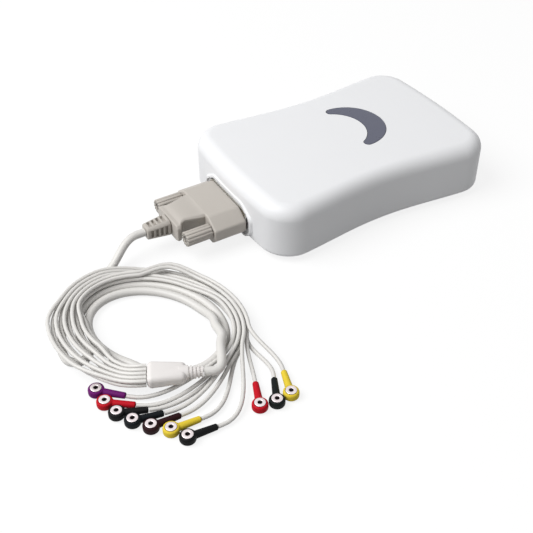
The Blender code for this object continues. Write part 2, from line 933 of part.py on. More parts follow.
def make_plug_shell():
    """The plug's steel shell goes round the socket's shell and bears on its flange."""
    grow = 2 * (running_gap + shell_metal)
    width = socket_shell_width + grow
    height = socket_shell_height + grow
    back = plug_face - flange_thickness
    tip = plug_face + shell_depth
    shell = node("plug_shell", prism(d_outline(width, height, dsub_corner), plug_face - seat_gap, tip), nickel)
    boolean(shell, node("plug_flange_form", prism(flange_outline(), back, plug_face)), "UNION")
    inner_width = socket_shell_width + 2 * running_gap
    inner_height = socket_shell_height + 2 * running_gap
    bore = prism(d_outline(inner_width, inner_height, dsub_corner), back - overrun, tip + overrun)
    boolean(shell, node("plug_shell_bore", bore))
    clear = screw_shaft_radius + running_gap
    holes = joined(
        *[
            turned(
                [(0, overrun), (clear, overrun), (clear, -overrun), (0, -overrun)],
                along_x(plug_face, side * dsub_screw_half_spacing, dsub_z),
                10,
            )
            for side in (-1, 1)
        ]
    )
    boolean(shell, node("plug_flange_holes", holes))
    half_back = insulator_back_width / 2
    body_height = flange_height / 2 - 2 * seat_gap
    body = block(
        (hood_front() - insulator_back, -half_back, dsub_z - body_height),
        (back - seat_gap, half_back, dsub_z + body_height),
    )
    node("plug_insulator", body, black_resin, smooth=False)
    face_width = inner_width - 2 * seat_gap
    face_height = inner_height - 2 * seat_gap
    wafer = prism(d_outline(face_width, face_height, dsub_corner), plug_face - pin_wafer, plug_face)
    pins = node("plug_pins", wafer, gold)
    rods = joined(
        *[
            turned(
                [(0, pin_wafer / 2), (pin_radius, pin_wafer / 2), (pin_radius, -pin_length), (0, -pin_length)],
                along_x(plug_face, y, z),
                8,
            )
            for y, z in contact_places()
        ]
    )
    boolean(pins, node("pin_rods", rods), "UNION")


def make_thumbscrew(name, side):
    """A fluted knob on a threaded shaft; it turns on the shaft's own axis."""
    outline = []
    for step in range(2 * knob_flutes):
        radius = knob_radius - (step % 2) * knob_flute_depth
        angle = math.pi * step / knob_flutes
        outline.append((radius * math.cos(angle), radius * math.sin(angle)))
    knob = node(name, prism(outline, -knob_length, 0.0), hood_vinyl)
    edge = knob.modifiers.new("edges", "BEVEL")
    edge.width = knob_flute_depth
    edge.segments = 1
    edge.angle_limit = math.radians(60)
    reach = plug_face + screw_shaft_reach - knob_front()
    shaft = turned(
        [(0, knob_length / 2), (screw_shaft_radius, knob_length / 2), (screw_shaft_radius, -reach), (0, -reach)],
        along_x(0, 0, 0),
        10,
    )
    form = node(name + "_shaft_form", shaft)
    boolean(knob, form, "UNION")
    pivot = bpy.data.objects.new(name + "_pivot", None)
    pivot.location = (knob_front(), side * dsub_screw_half_spacing, dsub_z)
    visible.objects.link(pivot)
    place_on(pivot, [knob, form])
    return knob


def make_strain_relief():
    rear = neck_rear() - seat_gap
    tip = rear - relief_length

    def section(half):
        edge = half / 3
        right = [(half - edge, -half), (half, edge - half), (half, half - edge), (half - edge, half)]
        return [(y, dsub_z + z) for y, z in right + [(-y, z) for y, z in reversed(right)]]

    form = loft([(rear, section(relief_root_half)), (tip, section(relief_tip_half))])
    relief = node("plug_strain_relief", form, hood_vinyl)
    pitch = relief_length / (relief_slots + 1)
    bars = []
    for step in range(relief_slots):
        x = rear - pitch * (step + 1)
        half = relief_root_half + (relief_tip_half - relief_root_half) * (rear - x) / relief_length
        low = x - relief_slot_width / 2
        high = x + relief_slot_width / 2
        floor = half - relief_slot_depth
        wide = half / 2
        for side in (-1, 1):
            span = sorted((side * floor, side * (half + overrun)))
            bars.append(block((low, -wide, dsub_z + span[0]), (high, wide, dsub_z + span[1])))
            bars.append(block((low, span[0], dsub_z - wide), (high, span[1], dsub_z + wide)))
    boolean(relief, node("relief_slots", joined(*bars)))


# The coil: every strand is a lane round the same ellipse
def ring(angle, lane, height):
    """The point of a lane at this angle: lane is its distance outside the ellipse."""
    long_way = (coil_half_length + lane) * math.cos(angle)
    short_way = (coil_half_width + lane) * math.sin(angle)
    turn = Matrix.Rotation(coil_turn, 2)
    flat = turn @ Vector((long_way, short_way))
    return Vector((coil_x + flat.x, coil_y + flat.y, height))


def heading(angle, lane):
    """The direction of travel, clockwise from above, along a lane at this angle."""
    step = math.radians(1)
    return (ring(angle - step, lane, 0.0) - ring(angle + step, lane, 0.0)).normalized()


def ease(share):
    share = max(0.0, min(1.0, share))
    return share * share * (3 - 2 * share)


def stations(keys, angle):
    """Lane and height at an angle, eased between keys of (degrees, lane, height) in order of travel."""
    degrees = math.degrees(angle)
    direction = 1 if keys[-1][0] > keys[0][0] else -1
    for first, second in zip(keys, keys[1:]):
        if direction * degrees <= direction * second[0]:
            blend = ease((degrees - first[0]) / (second[0] - first[0]))
            return first[1] + (second[1] - first[1]) * blend, first[2] + (second[2] - first[2]) * blend
    return keys[-1][1], keys[-1][2]


def lane_points(keys, step_degrees):
    """Points along a strand, at the same round angles as every other strand, so that neighbours stay apart."""
    start = keys[0][0]
    end = keys[-1][0]
    direction = 1 if end > start else -1
    stops = [start]
    mark = step_degrees * (math.floor(start / step_degrees * direction) + 1) * direction
    while direction * mark < direction * end - step_degrees / 3:
        if abs(mark - start) > step_degrees / 3:
            stops.append(mark)
        mark += direction * step_degrees
    stops.append(end)
    return [ring(math.radians(stop), *stations(keys, math.radians(stop))) for stop in stops]


def hermite(start, start_way, end, end_way, count, pull=1.0):
    """Points of a smooth curve from start to end, leaving and arriving in the given directions."""
    reach = pull * (end - start).length
    points = []
    for step in range(count + 1):
        t = step / count
        points.append(
            start * (2 * t**3 - 3 * t**2 + 1)
            + start_way * reach * (t**3 - 2 * t**2 + t)
            + end * (3 * t**2 - 2 * t**3)
            + end_way * reach * (t**3 - t**2)
        )
    return points


def tube(name, points, diameter, finish, resolution):
    data = bpy.data.curves.new(name, "CURVE")
    data.dimensions = "3D"
    data.bevel_depth = diameter / 2
    data.bevel_resolution = resolution
    data.use_fill_caps = True
    spline = data.splines.new("POLY")
    spline.points.add(len(points) - 1)
    for target, point in zip(spline.points, points):
        target.co = (*point, 1.0)
    data.materials.append(finish)
    made = bpy.data.objects.new(name, data)
    visible.objects.link(made)
    return made


# The first stretch travels anticlockwise under the leads, then turns back inside its own lane
outward_keys = [
    (arrive_degrees, arrive_lane, floor_z),
    (184, left_lane, floor_z),
    (214, left_lane, floor_z),
    (hairpin_degrees, hairpin_lane, floor_z),
]
# The rest travels clockwise: once round on the table, again inside that turn, then over it and up to the yoke
inward_keys = [
    (hairpin_degrees - 360, second_lane, floor_z),
    (-410, second_lane, floor_z),
    (-446, inner_lane, floor_z),
    (-652, inner_lane, floor_z),
    (-690, inner_lane, over_z),
    (-716, second_lane, yoke_z),
]


def yoke_frame():
    """The yoke's middle, the way the trunk enters it, and the way across it, outwards."""
    middle = ring(yoke_angle, yoke_lane, yoke_z)
    way = heading(yoke_angle, yoke_lane)
    across = Vector((-way.y, way.x, 0.0))
    return middle, way, across


def trunk_entry():
    """Where the trunk meets the yoke's strain relief."""
    middle, way, _ = yoke_frame()
    return middle - way * (yoke_length / 2 + yoke_relief_length + seat_gap)


def trunk_route(step_degrees):
    """The whole wound part of the trunk, from the end of its free run to the yoke."""
    points = lane_points(outward_keys, step_degrees)
    start = points[-1]
    end = ring(math.radians(hairpin_degrees), second_lane, floor_z)
    middle = (start + end) / 2
    spoke = start - middle
    count = max(6, round(180 / (2 * step_degrees)))
    for step in range(1, count):
        points.append(middle + Matrix.Rotation(math.pi * step / count, 3, "Z") @ spoke)
    points += lane_points(inward_keys, step_degrees)
    entry = trunk_entry()
    _, way, _ = yoke_frame()
    stub = entry - way * trunk_diameter
    leave = points[-1]
    before = points[-2]
    points += hermite(leave, (leave - before).normalized(), stub, way, 3)[1:]
    points.append(entry)
    return points


def least_gap(points, diameter):
    """The least clear distance between stretches of one tube that are not neighbours along it."""
    lengths = [0.0]
    for before, after in zip(points, points[1:]):
        lengths.append(lengths[-1] + (after - before).length)
    least = lengths[-1]
    for i, first in enumerate(points):
        for j in range(i + 1, len(points)):
            if lengths[j] - lengths[i] > 4 * diameter:
                least = min(least, (points[j] - first).length)
    return least - diameter


def make_trunk():
    step = 360 / points_per_turn
    coil = trunk_route(step)
    tube("trunk_cable_coil", coil, trunk_diameter, cord_vinyl, 1)
    fine = trunk_route(2.0)
    print("trunk_cable_coil: least gap to itself, mm:", round(least_gap(fine, trunk_diameter) * 1000, 3))
    way = (coil[1] - coil[0]).normalized()
    end = coil[0] - way * seat_gap
    start = Vector((neck_rear() - relief_length - 2 * seat_gap, 0.0, dsub_z))
    drop = start - Vector((trunk_diameter, 0.0, 0.0))
    run_points = [start]
    run_points += hermite(drop, Vector((-1.0, 0.0, 0.0)), end - way * trunk_diameter, way, run_points_count, run_pull)
    run_points.append(end)
    tube("trunk_cable_run", run_points, trunk_diameter, cord_vinyl, 2)


# Head place from the middle of the coil, the way the stem points from the head, and the boot's colour, by lead
snap_table = [
    ("purple", (-0.0391, -0.0237), -43, (0.130, 0.015, 0.230)),
    ("red", (-0.0387, -0.0323), -36, (0.520, 0.012, 0.025)),
    ("black_one", (-0.0367, -0.0407), -22, (0.012, 0.012, 0.014)),
    ("black_two", (-0.0325, -0.0483), -12, (0.010, 0.014, 0.018)),
    ("brown", (-0.0270, -0.0554), -3, (0.035, 0.008, 0.012)),
    ("yellow", (-0.0203, -0.0615), -4, (0.640, 0.420, 0.030)),
    ("black_three", (-0.0161, -0.0689), -5, (0.011, 0.012, 0.014)),
    ("limb_red", (0.0197, -0.0695), 68, (0.520, 0.012, 0.025)),
    ("limb_black", (0.0275, -0.0713), 64, (0.010, 0.016, 0.016)),
    ("limb_yellow", (0.0354, -0.0705), 72, (0.640, 0.420, 0.030)),
]

# For each lead in the same order: column and row at the yoke, and the angle where it leaves the ring
lead_order = [
    (0, "low", -16),
    (2, "high", -10),
    (2, "low", -5),
    (1, "low", 2),
    (3, "high", 2),
    (3, "low", 5),
    (0, "high", 15),
    (4, "high", 20),
    (4, "low", 24),
    (1, "high", 30),
]


def lead_keys(column, row, leave_degrees):
    """The stations of one lead, from just past the yoke to the angle where it leaves the ring."""
    height = low_row if row == "low" else high_row
    shift = column * lead_pitch
    last = leave_degrees - 360
    spread = spread_lane + spread_pitch * (column if row == "low" else column + 1 / 2)
    keys = [(-84, exit_lane + shift, height), (-110, spread, height), (-144, spread, height)]
    keys.append((-172, settled_lane + shift, height))
    if column >= 2:
        lane = outer_first_lane + (column - 2) * lead_pitch
        lower = table_row if row == "low" else middle_row
        return keys + [(-202, lane, height), (-246, lane, lower), (last, lane, lower)]
    if row == "low":
        lane = fanned_lane + shift
        return keys + [(-272, settled_lane + shift, top_row), (-304, lane, top_row), (last, lane, top_row)]
    lane = fanned_lane + shift + 2 * lead_pitch
    return keys + [
        (-232, settled_lane + shift, height),
        (-256, lane, height),
        (-276, lane, top_row),
        (last, lane, top_row),
    ]


def head_place(offset):
    return coil_x + offset[0], coil_y + offset[1]


def snap_direction(degrees):
    return Vector((math.cos(math.radians(degrees)), math.sin(math.radians(degrees)), 0.0))


def lead_route(index, step_degrees, fan_points):
    """One lead, from the yoke's face to its connector's stem."""
    _, offset, degrees, _ = snap_table[index]
    column, row, leave_degrees = lead_order[index]
    middle, way, across = yoke_frame()
    outward = 1 if across.dot(middle - Vector((coil_x, coil_y, middle.z))) > 0 else -1
    keys = lead_keys(column, row, leave_degrees)
    face = middle + way * (yoke_length / 2 + seat_gap)
    face += across * outward * (column - 2) * lead_pitch
    half_row = lead_pitch / 2
    face.z = middle.z + (half_row if row == "high" else -half_row)
    wound = lane_points(keys, step_degrees)
    first_way = (wound[1] - wound[0]).normalized()
    points = [face, face + way * lead_diameter]
    points += hermite(points[-1], way, wound[0], first_way, 2)[1:]
    points += wound[1:]
    stem = snap_direction(degrees)
    tail = Vector((*head_place(offset), 0.0)) + stem * (boot_reach + seat_gap)
    tail.z = stem_z
    last_way = (points[-1] - points[-2]).normalized()
    points += hermite(points[-1], last_way, tail + stem * lead_diameter, -stem, fan_points)[1:]
    points.append(tail)
    return points


def make_leads():
    step = 360 / points_per_turn
    for index, (name, _, _, _) in enumerate(snap_table):
        tube("lead_" + name, lead_route(index, step, 5), lead_diameter, cord_vinyl, 1)


def make_yoke():
    middle, way, _ = yoke_frame()
    frame = Matrix.Translation(middle) @ Matrix.Rotation(math.atan2(way.y, way.x), 4, "Z")
    half_length = yoke_length / 2
    half_width = yoke_width / 2
    half_height = yoke_height / 2
    low = (-half_length, -half_width, -half_height)
    high = (half_length, half_width, half_height)
    body = block(low, high)
    for vert in body.verts:
        if vert.co.x < 0:
            vert.co.y *= yoke_taper_share
            vert.co.z *= yoke_taper_share
    bmesh.ops.bevel(body, geom=body.edges[:], offset=yoke_bevel, segments=3, profile=0.5, affect="EDGES")
    body.transform(frame)
    housing = node("yoke_housing", body, yoke_vinyl)
    root = -half_length
    profile = [(0, root + yoke_relief_radius), (yoke_relief_radius, root + yoke_relief_radius), (yoke_relief_radius, root)]
    pitch = yoke_relief_length / (2 * yoke_relief_ribs + 1)
    for step in range(2 * yoke_relief_ribs):
        height = root - pitch * (step + 1)
        taper = (root - height) / yoke_relief_length
        outer = yoke_relief_radius + (yoke_relief_tip_radius - yoke_relief_radius) * taper
        inner = outer - yoke_relief_groove
        profile += [(outer, height), (inner, height)] if step % 2 == 0 else [(inner, height), (outer, height)]
    profile += [(yoke_relief_tip_radius, root - yoke_relief_length), (0, root - yoke_relief_length)]
    relief = turned(profile, frame @ Matrix.Rotation(math.pi / 2, 4, "Y"), 10)
    boolean(housing, node("yoke_relief_form", relief), "UNION")


def snap_boot_form():
    """The vinyl boot about the middle of its head, its stem along +X."""
    low = table_gap
    high = table_gap + head_height
    head = turned(
        [(0, high), (head_radius - head_edge, high), (head_radius, high - head_edge)]
        + [(head_radius, low + head_edge), (head_radius - head_edge, low), (0, low)],
        at(0, 0, 0),
        20,
    )
    return head


def make_snaps():
    ring_seat = ring_radius + seat_gap
    ring_top = table_gap + head_height + ring_proud
    ring_low = ring_top - ring_height
    for name, offset, degrees, colour in snap_table:
        finish = material("boot_" + name, colour, 0.45)
        pivot = bpy.data.objects.new("snap_" + name + "_place", None)
        pivot.location = (*head_place(offset), 0.0)
        pivot.rotation_euler = (0.0, 0.0, math.radians(degrees))
        visible.objects.link(pivot)
        boot = node("snap_boot_" + name, snap_boot_form(), finish)
        stem = turned(
            [(0, boot_reach), (stem_tip_radius, boot_reach), (stem_root_radius, head_radius / 2)]
            + [(0, head_radius / 2)],
            at(0, 0, stem_z + table_gap / 2) @ Matrix.Rotation(math.pi / 2, 4, "Y"),
            10,
        )
        stem_form = node("stem_form_" + name, stem)
        boolean(boot, stem_form, "UNION")
        seat = turned(
            [(0, ring_top + overrun), (ring_seat, ring_top + overrun), (ring_seat, ring_low - seat_gap)]
            + [(0, ring_low - seat_gap)],
            at(0, 0, 0),
            16,
        )
        seat_form = node("ring_seat_" + name, seat)
        boolean(boot, seat_form)
        bore_low = ring_top - ring_bore_depth
        socket = turned(
            [(ring_bore_radius, ring_top), (ring_radius - ring_proud, ring_top), (ring_radius, ring_top - ring_proud)]
            + [(ring_radius, ring_low), (0, ring_low), (0, bore_low), (ring_bore_radius, bore_low)],
            at(0, 0, 0),
            16,
            hollow=True,
        )
        metal = node("snap_socket_" + name, socket, nickel)
        place_on(pivot, [boot, stem_form, seat_form, metal])


def centre_part():
    """Puts the origin under the middle of the box with its collar, whatever their lengths."""
    front = plug_face - collar_projection
    rear = case_length / 2 + end_bulge
    loose = [made for made in bpy.data.objects if made.parent is None]
    middle = bpy.data.objects.new("recorder_middle", None)
    middle.location = (-(front + rear) / 2, 0.0, 0.0)
    visible.objects.link(middle)
    place_on(middle, loose)


make_top_cover()
make_bottom_cover()
make_feet()
make_screws()
make_window()
make_board()
make_board_parts()
make_usb_inlet()
make_socket()
make_posts()
make_hood()
make_plug_shell()
make_thumbscrew("thumbscrew_near", -1)
make_thumbscrew("thumbscrew_far", 1)
make_strain_relief()
make_trunk()
make_yoke()
make_leads()
make_snaps()
centre_part()
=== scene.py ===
"""Looks for the PC ECG recorder with its ten-lead patient cable.

The white recorder lies on a table with its patient cable screwed into one end. The cable's trunk is wound once
round and ends in a splitter, and ten thin leads go round with it and fan out to snap connectors. Lengths are in
metres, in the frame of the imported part.
"""

import math

import bmesh
import bpy
from mathutils import Matrix, Vector


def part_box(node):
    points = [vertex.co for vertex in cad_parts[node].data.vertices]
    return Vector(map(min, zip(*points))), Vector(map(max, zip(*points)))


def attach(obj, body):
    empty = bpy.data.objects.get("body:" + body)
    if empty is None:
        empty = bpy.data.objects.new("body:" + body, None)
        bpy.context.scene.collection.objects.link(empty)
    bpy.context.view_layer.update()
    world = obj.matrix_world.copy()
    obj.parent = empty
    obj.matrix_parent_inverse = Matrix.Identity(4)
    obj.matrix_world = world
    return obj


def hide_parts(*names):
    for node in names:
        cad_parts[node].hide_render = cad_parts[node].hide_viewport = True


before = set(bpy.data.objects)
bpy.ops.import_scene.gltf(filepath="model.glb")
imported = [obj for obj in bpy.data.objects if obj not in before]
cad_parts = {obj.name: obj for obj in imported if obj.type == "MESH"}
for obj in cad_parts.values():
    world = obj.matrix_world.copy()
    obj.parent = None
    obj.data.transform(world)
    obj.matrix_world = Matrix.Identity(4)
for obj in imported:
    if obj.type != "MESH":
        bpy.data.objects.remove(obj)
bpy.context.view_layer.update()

# Circuit board and the pieces soldered to it.
# A green glass-fibre board that carries a shielded amplifier, an isolation transformer, a controller and a lamp.
# It lies on four bosses of the bottom plate, under the same four screws that close the case.


def link(material_tree, start, end):
    material_tree.links.new(start, end)


def finish(name, colour, roughness, metallic=0.0):
    """A material with its Principled shader set to these values."""
    made = bpy.data.materials.new(name)
    made.use_nodes = True
    made.diffuse_color = (*colour, 1.0)
    shader = made.node_tree.nodes["Principled BSDF"]
    shader.inputs["Base Color"].default_value = (*colour, 1.0)
    shader.inputs["Roughness"].default_value = roughness
    shader.inputs["Metallic"].default_value = metallic
    return made


def surface_group(name):
    """An empty shader group that turns a colour and a roughness into a varied colour, roughness and normal."""
    group = bpy.data.node_groups.new(name, "ShaderNodeTree")
    sockets = group.interface
    for label, kind, value in (
        ("Colour", "NodeSocketColor", (0.8, 0.8, 0.8, 1.0)),
        ("Roughness", "NodeSocketFloat", 0.5),
        ("Grain scale", "NodeSocketFloat", 2500.0),
        ("Grain depth", "NodeSocketFloat", 0.00001),
        ("Drift", "NodeSocketFloat", 0.03),
    ):
        made = sockets.new_socket(label, in_out="INPUT", socket_type=kind)
        made.default_value = value
    for label, kind in (
        ("Colour", "NodeSocketColor"),
        ("Roughness", "NodeSocketFloat"),
        ("Normal", "NodeSocketVector"),
    ):
        sockets.new_socket(label, in_out="OUTPUT", socket_type=kind)
    return group


def noise_node(group, place, scale, detail):
    made = group.nodes.new("ShaderNodeTexNoise")
    made.inputs["Detail"].default_value = detail
    if not hasattr(scale, "is_output"):
        made.inputs["Scale"].default_value = scale
    else:
        link(group, scale, made.inputs["Scale"])
    link(group, place, made.inputs["Vector"])
    return made


def sum_node(group, kind, *values):
    made = group.nodes.new("ShaderNodeMath")
    made.operation = kind
    for socket, value in zip(made.inputs, values):
        if hasattr(value, "is_output"):
            link(group, value, socket)
        else:
            socket.default_value = value
    return made.outputs[0]


def moulded_grain_group():
    """Moulded plastic: a fine spark-eroded grain, a slow drift of the shade, and patches handled smoother."""
    group = surface_group("moulded_grain")
    given = group.nodes.new("NodeGroupInput")
    result = group.nodes.new("NodeGroupOutput")
    place = group.nodes.new("ShaderNodeTexCoord").outputs["Object"]
    grain = noise_node(group, place, given.outputs["Grain scale"], 2.0)
    bump = group.nodes.new("ShaderNodeBump")
    link(group, given.outputs["Grain depth"], bump.inputs["Distance"])
    link(group, grain.outputs["Fac"], bump.inputs["Height"])
    slow = noise_node(group, place, 45.0, 3.0)
    swing = sum_node(group, "SUBTRACT", slow.outputs["Fac"], 0.5)
    shade = sum_node(group, "MULTIPLY_ADD", swing, given.outputs["Drift"], 1.0)
    tint = group.nodes.new("ShaderNodeHueSaturation")
    link(group, shade, tint.inputs["Value"])
    link(group, given.outputs["Colour"], tint.inputs["Color"])
    patches = noise_node(group, place, 160.0, 4.0)
    patch_swing = sum_node(group, "SUBTRACT", patches.outputs["Fac"], 0.5)
    link(group, sum_node(group, "MULTIPLY_ADD", patch_swing, 0.22, given.outputs["Roughness"]), result.inputs["Roughness"])
    link(group, tint.outputs["Color"], result.inputs["Colour"])
    link(group, bump.outputs["Normal"], result.inputs["Normal"])
    return group


def drawn_metal_group():
    """Rolled or drawn metal: fine scratches along X, and clouding in the plating."""
    group = surface_group("drawn_metal")
    given = group.nodes.new("NodeGroupInput")
    result = group.nodes.new("NodeGroupOutput")
    stretch = group.nodes.new("ShaderNodeMapping")
    stretch.inputs["Scale"].default_value = (0.06, 1.0, 1.0)
    place = group.nodes.new("ShaderNodeTexCoord").outputs["Object"]
    link(group, place, stretch.inputs["Vector"])
    scratch = noise_node(group, stretch.outputs["Vector"], given.outputs["Grain scale"], 3.0)
    bump = group.nodes.new("ShaderNodeBump")
    link(group, given.outputs["Grain depth"], bump.inputs["Distance"])
    link(group, scratch.outputs["Fac"], bump.inputs["Height"])
    cloud = noise_node(group, place, 350.0, 3.0)
    swing = sum_node(group, "SUBTRACT", cloud.outputs["Fac"], 0.5)
    shade = sum_node(group, "MULTIPLY_ADD", swing, given.outputs["Drift"], 1.0)
    tint = group.nodes.new("ShaderNodeHueSaturation")
    link(group, shade, tint.inputs["Value"])
    link(group, given.outputs["Colour"], tint.inputs["Color"])
    link(group, sum_node(group, "MULTIPLY_ADD", swing, 0.30, given.outputs["Roughness"]), result.inputs["Roughness"])
    link(group, tint.outputs["Color"], result.inputs["Colour"])
    link(group, bump.outputs["Normal"], result.inputs["Normal"])
    return group


moulded_grain = moulded_grain_group()
drawn_metal = drawn_metal_group()


def grained(group, name, colour, roughness, grain_scale, grain_depth, drift, metallic=0.0):
    """A material whose colour, roughness and normal come from one of the surface groups."""
    made = finish(name, colour, roughness, metallic)
    tree = made.node_tree
    shader = tree.nodes["Principled BSDF"]
    use = tree.nodes.new("ShaderNodeGroup")
    use.node_tree = group
    use.inputs["Colour"].default_value = (*colour, 1.0)
    use.inputs["Roughness"].default_value = roughness
    use.inputs["Grain scale"].default_value = grain_scale
    use.inputs["Grain depth"].default_value = grain_depth
    use.inputs["Drift"].default_value = drift
    link(tree, use.outputs["Colour"], shader.inputs["Base Color"])
    link(tree, use.outputs["Roughness"], shader.inputs["Roughness"])
    link(tree, use.outputs["Normal"], shader.inputs["Normal"])
    return made


def dress(material, *names):
    for name in names:
        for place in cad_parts[name].material_slots:
            place.material = material


def copper_tracks(material, spacing, track_colour):
    """Draws faint tracks under the board's lacquer, by a square-edged wave that a noise bends."""
    tree = material.node_tree
    shader = tree.nodes["Principled BSDF"]
    place = tree.nodes.new("ShaderNodeTexCoord").outputs["Object"]
    wave = tree.nodes.new("ShaderNodeTexWave")
    wave.inputs["Scale"].default_value = 1.0 / spacing
    wave.inputs["Distortion"].default_value = 3.0
    wave.inputs["Detail"].default_value = 0.0
    link(tree, place, wave.inputs["Vector"])
    edge = tree.nodes.new("ShaderNodeValToRGB")
    edge.color_ramp.elements[0].position = 0.62
    edge.color_ramp.elements[1].position = 0.66
    link(tree, wave.outputs["Fac"], edge.inputs["Fac"])
    mix = tree.nodes.new("ShaderNodeMix")
    mix.data_type = "RGBA"
    link(tree, edge.outputs["Color"], mix.inputs["Factor"])
    link(tree, shader.inputs["Base Color"].links[0].from_socket, mix.inputs["A"])
    mix.inputs["B"].default_value = (*track_colour, 1.0)
    link(tree, mix.outputs["Result"], shader.inputs["Base Color"])


board_green = grained(moulded_grain, "solder_mask_green", (0.020, 0.150, 0.065), 0.35, 1800.0, 0.000004, 0.20)
copper_tracks(board_green, 0.0022, (0.045, 0.230, 0.100))
dress(board_green, "main_board")
dress(grained(moulded_grain, "ferrite_grey", (0.070, 0.070, 0.075), 0.60, 3000.0, 0.00003, 0.25), "isolation_transformer")
dress(grained(drawn_metal, "tinned_shield", (0.66, 0.66, 0.64), 0.32, 900.0, 0.000006, 0.12, 1.0), "amplifier_shield")
dress(grained(moulded_grain, "controller_black", (0.020, 0.020, 0.022), 0.55, 4000.0, 0.00001, 0.15), "microcontroller")
dress(grained(moulded_grain, "lamp_body", (0.75, 0.80, 0.75), 0.30, 2000.0, 0.000004, 0.05), "status_lamp")

# Fifteen-way socket on the board, with the two threaded posts that stand through its flange.
# A drawn steel shell, nickel plated, round a dark blue glass-filled insulator. The posts are hexagon steel bar.
# The plug hides all of it until it is drawn out of the end wall.
nickel_shell = grained(drawn_metal, "nickel_plated_shell", (0.70, 0.68, 0.62), 0.28, 1400.0, 0.000004, 0.10, 1.0)
zinc_steel = grained(drawn_metal, "zinc_plated_steel", (0.62, 0.62, 0.60), 0.34, 1600.0, 0.000006, 0.14, 1.0)
dress(nickel_shell, "socket_shell")
dress(
    grained(moulded_grain, "socket_insulator_blue", (0.030, 0.060, 0.160), 0.50, 3000.0, 0.00001, 0.12),
    "socket_insulator",
)
dress(zinc_steel, "jack_post_near", "jack_post_far")

# USB inlet, type B, in the far end wall.
# A folded nickel-plated shell with its two upper corners cut off, an ivory lining, and a tongue inside that
# carries four gold-plated contact strips.
inlet_middle_z = 0.0139
inlet_face_x = 0.07325
inlet_depth = 0.0162
inlet_width = 0.0120
inlet_height = 0.0108
inlet_shell_metal = 0.0004
inlet_mouth_width = 0.0085
inlet_mouth_height = 0.0078
inlet_corner_cut = 0.0018
inlet_lining_setback = 0.0003
tongue_width = 0.0056
tongue_height = 0.0032
tongue_setback = 0.0008
strip_width = 0.0010
strip_pitch = 0.0020
strip_thickness = 0.00015


def to_object(name, bm, material, sharp_degrees=35):
    """A closed, smooth-shaded mesh object of this bmesh, with its place in its mesh."""
    bmesh.ops.remove_doubles(bm, verts=bm.verts, dist=0.000002)
    bmesh.ops.recalc_face_normals(bm, faces=bm.faces)
    mesh = bpy.data.meshes.new(name)
    bm.to_mesh(mesh)
    bm.free()
    mesh.materials.append(material)
    mesh.shade_smooth()
    mesh.set_sharp_from_angle(angle=math.radians(sharp_degrees))
    made = bpy.data.objects.new(name, mesh)
    bpy.context.scene.collection.objects.link(made)
    return made


def settled(piece, sharp_degrees=35):
    """Puts the piece's modifiers into its mesh."""
    graph = bpy.context.evaluated_depsgraph_get()
    mesh = bpy.data.meshes.new_from_object(piece.evaluated_get(graph))
    piece.modifiers.clear()
    piece.data = mesh
    mesh.shade_smooth()
    mesh.set_sharp_from_angle(angle=math.radians(sharp_degrees))
    return piece


def cut(piece, bm, operation="DIFFERENCE"):
    """Takes this solid out of the piece, or adds it."""
    tool = to_object("tool_" + piece.name, bm, piece.data.materials[0])
    change = piece.modifiers.new(tool.name, "BOOLEAN")
    change.operation = operation
    change.solver = "EXACT"
    change.object = tool
    settled(piece)
    bpy.data.objects.remove(tool)


def bevelled(piece, width, segments, degrees=35):
    """Rounds the piece's sharp edges."""
    edge = piece.modifiers.new("edges", "BEVEL")
    edge.width = width
    edge.segments = segments
    edge.angle_limit = math.radians(degrees)
    edge.harden_normals = False
    return settled(piece)


def fitted(piece, body, slot, *nodes):
    """Sets the body that the piece rides on, and hides the solids that it stands for. The finish's slot is not used."""
    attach(piece, body)
    if nodes:
        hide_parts(*nodes)
    return piece


def box_form(low, high):
    bm = bmesh.new()
    bmesh.ops.create_cube(bm, size=1)
    size = Vector(high) - Vector(low)
    bmesh.ops.scale(bm, vec=size, verts=bm.verts)
    bmesh.ops.translate(bm, vec=Vector(low) + size / 2, verts=bm.verts)
    return bm


def joined_forms(*forms):
    """One bmesh of several closed solids that stand clear of one another."""
    whole = bmesh.new()
    for form in forms:
        mesh = bpy.data.meshes.new("form")
        form.to_mesh(mesh)
        form.free()
        whole.from_mesh(mesh)
        bpy.data.meshes.remove(mesh)
    return whole


def pushed(corners, direction):
    """A prism: the face of these corners, pushed out along the direction."""
    bm = bmesh.new()
    face = bm.faces.new([bm.verts.new(corner) for corner in corners])
    made = bmesh.ops.extrude_face_region(bm, geom=[face])["geom"]
    bmesh.ops.translate(bm, vec=direction, verts=[v for v in made if isinstance(v, bmesh.types.BMVert)])
    return bm


def inlet_outline(x, width, height):
    """The inlet's outline at this x, its two upper corners cut off."""
    half = width / 2
    low = inlet_middle_z - height / 2
    high = inlet_middle_z + height / 2
    top = half - inlet_corner_cut
    shoulder = high - inlet_corner_cut
    return [(x, -half, low), (x, half, low), (x, half, shoulder), (x, top, high), (x, -top, high), (x, -half, shoulder)]


inlet_back_x = inlet_face_x - inlet_depth
inlet_shell = to_object(
    "usb_shell", pushed(inlet_outline(inlet_back_x, inlet_width, inlet_height), (inlet_depth, 0, 0)), nickel_shell
)
cut(
    inlet_shell,
    pushed(
        inlet_outline(
            inlet_back_x + inlet_shell_metal,
            inlet_width - 2 * inlet_shell_metal,
            inlet_height - 2 * inlet_shell_metal,
        ),
        (inlet_depth, 0, 0),
    ),
)
fitted(bevelled(inlet_shell, 0.00012, 2), "recorder", "nickel_plated_shell", "usb_inlet_shell")

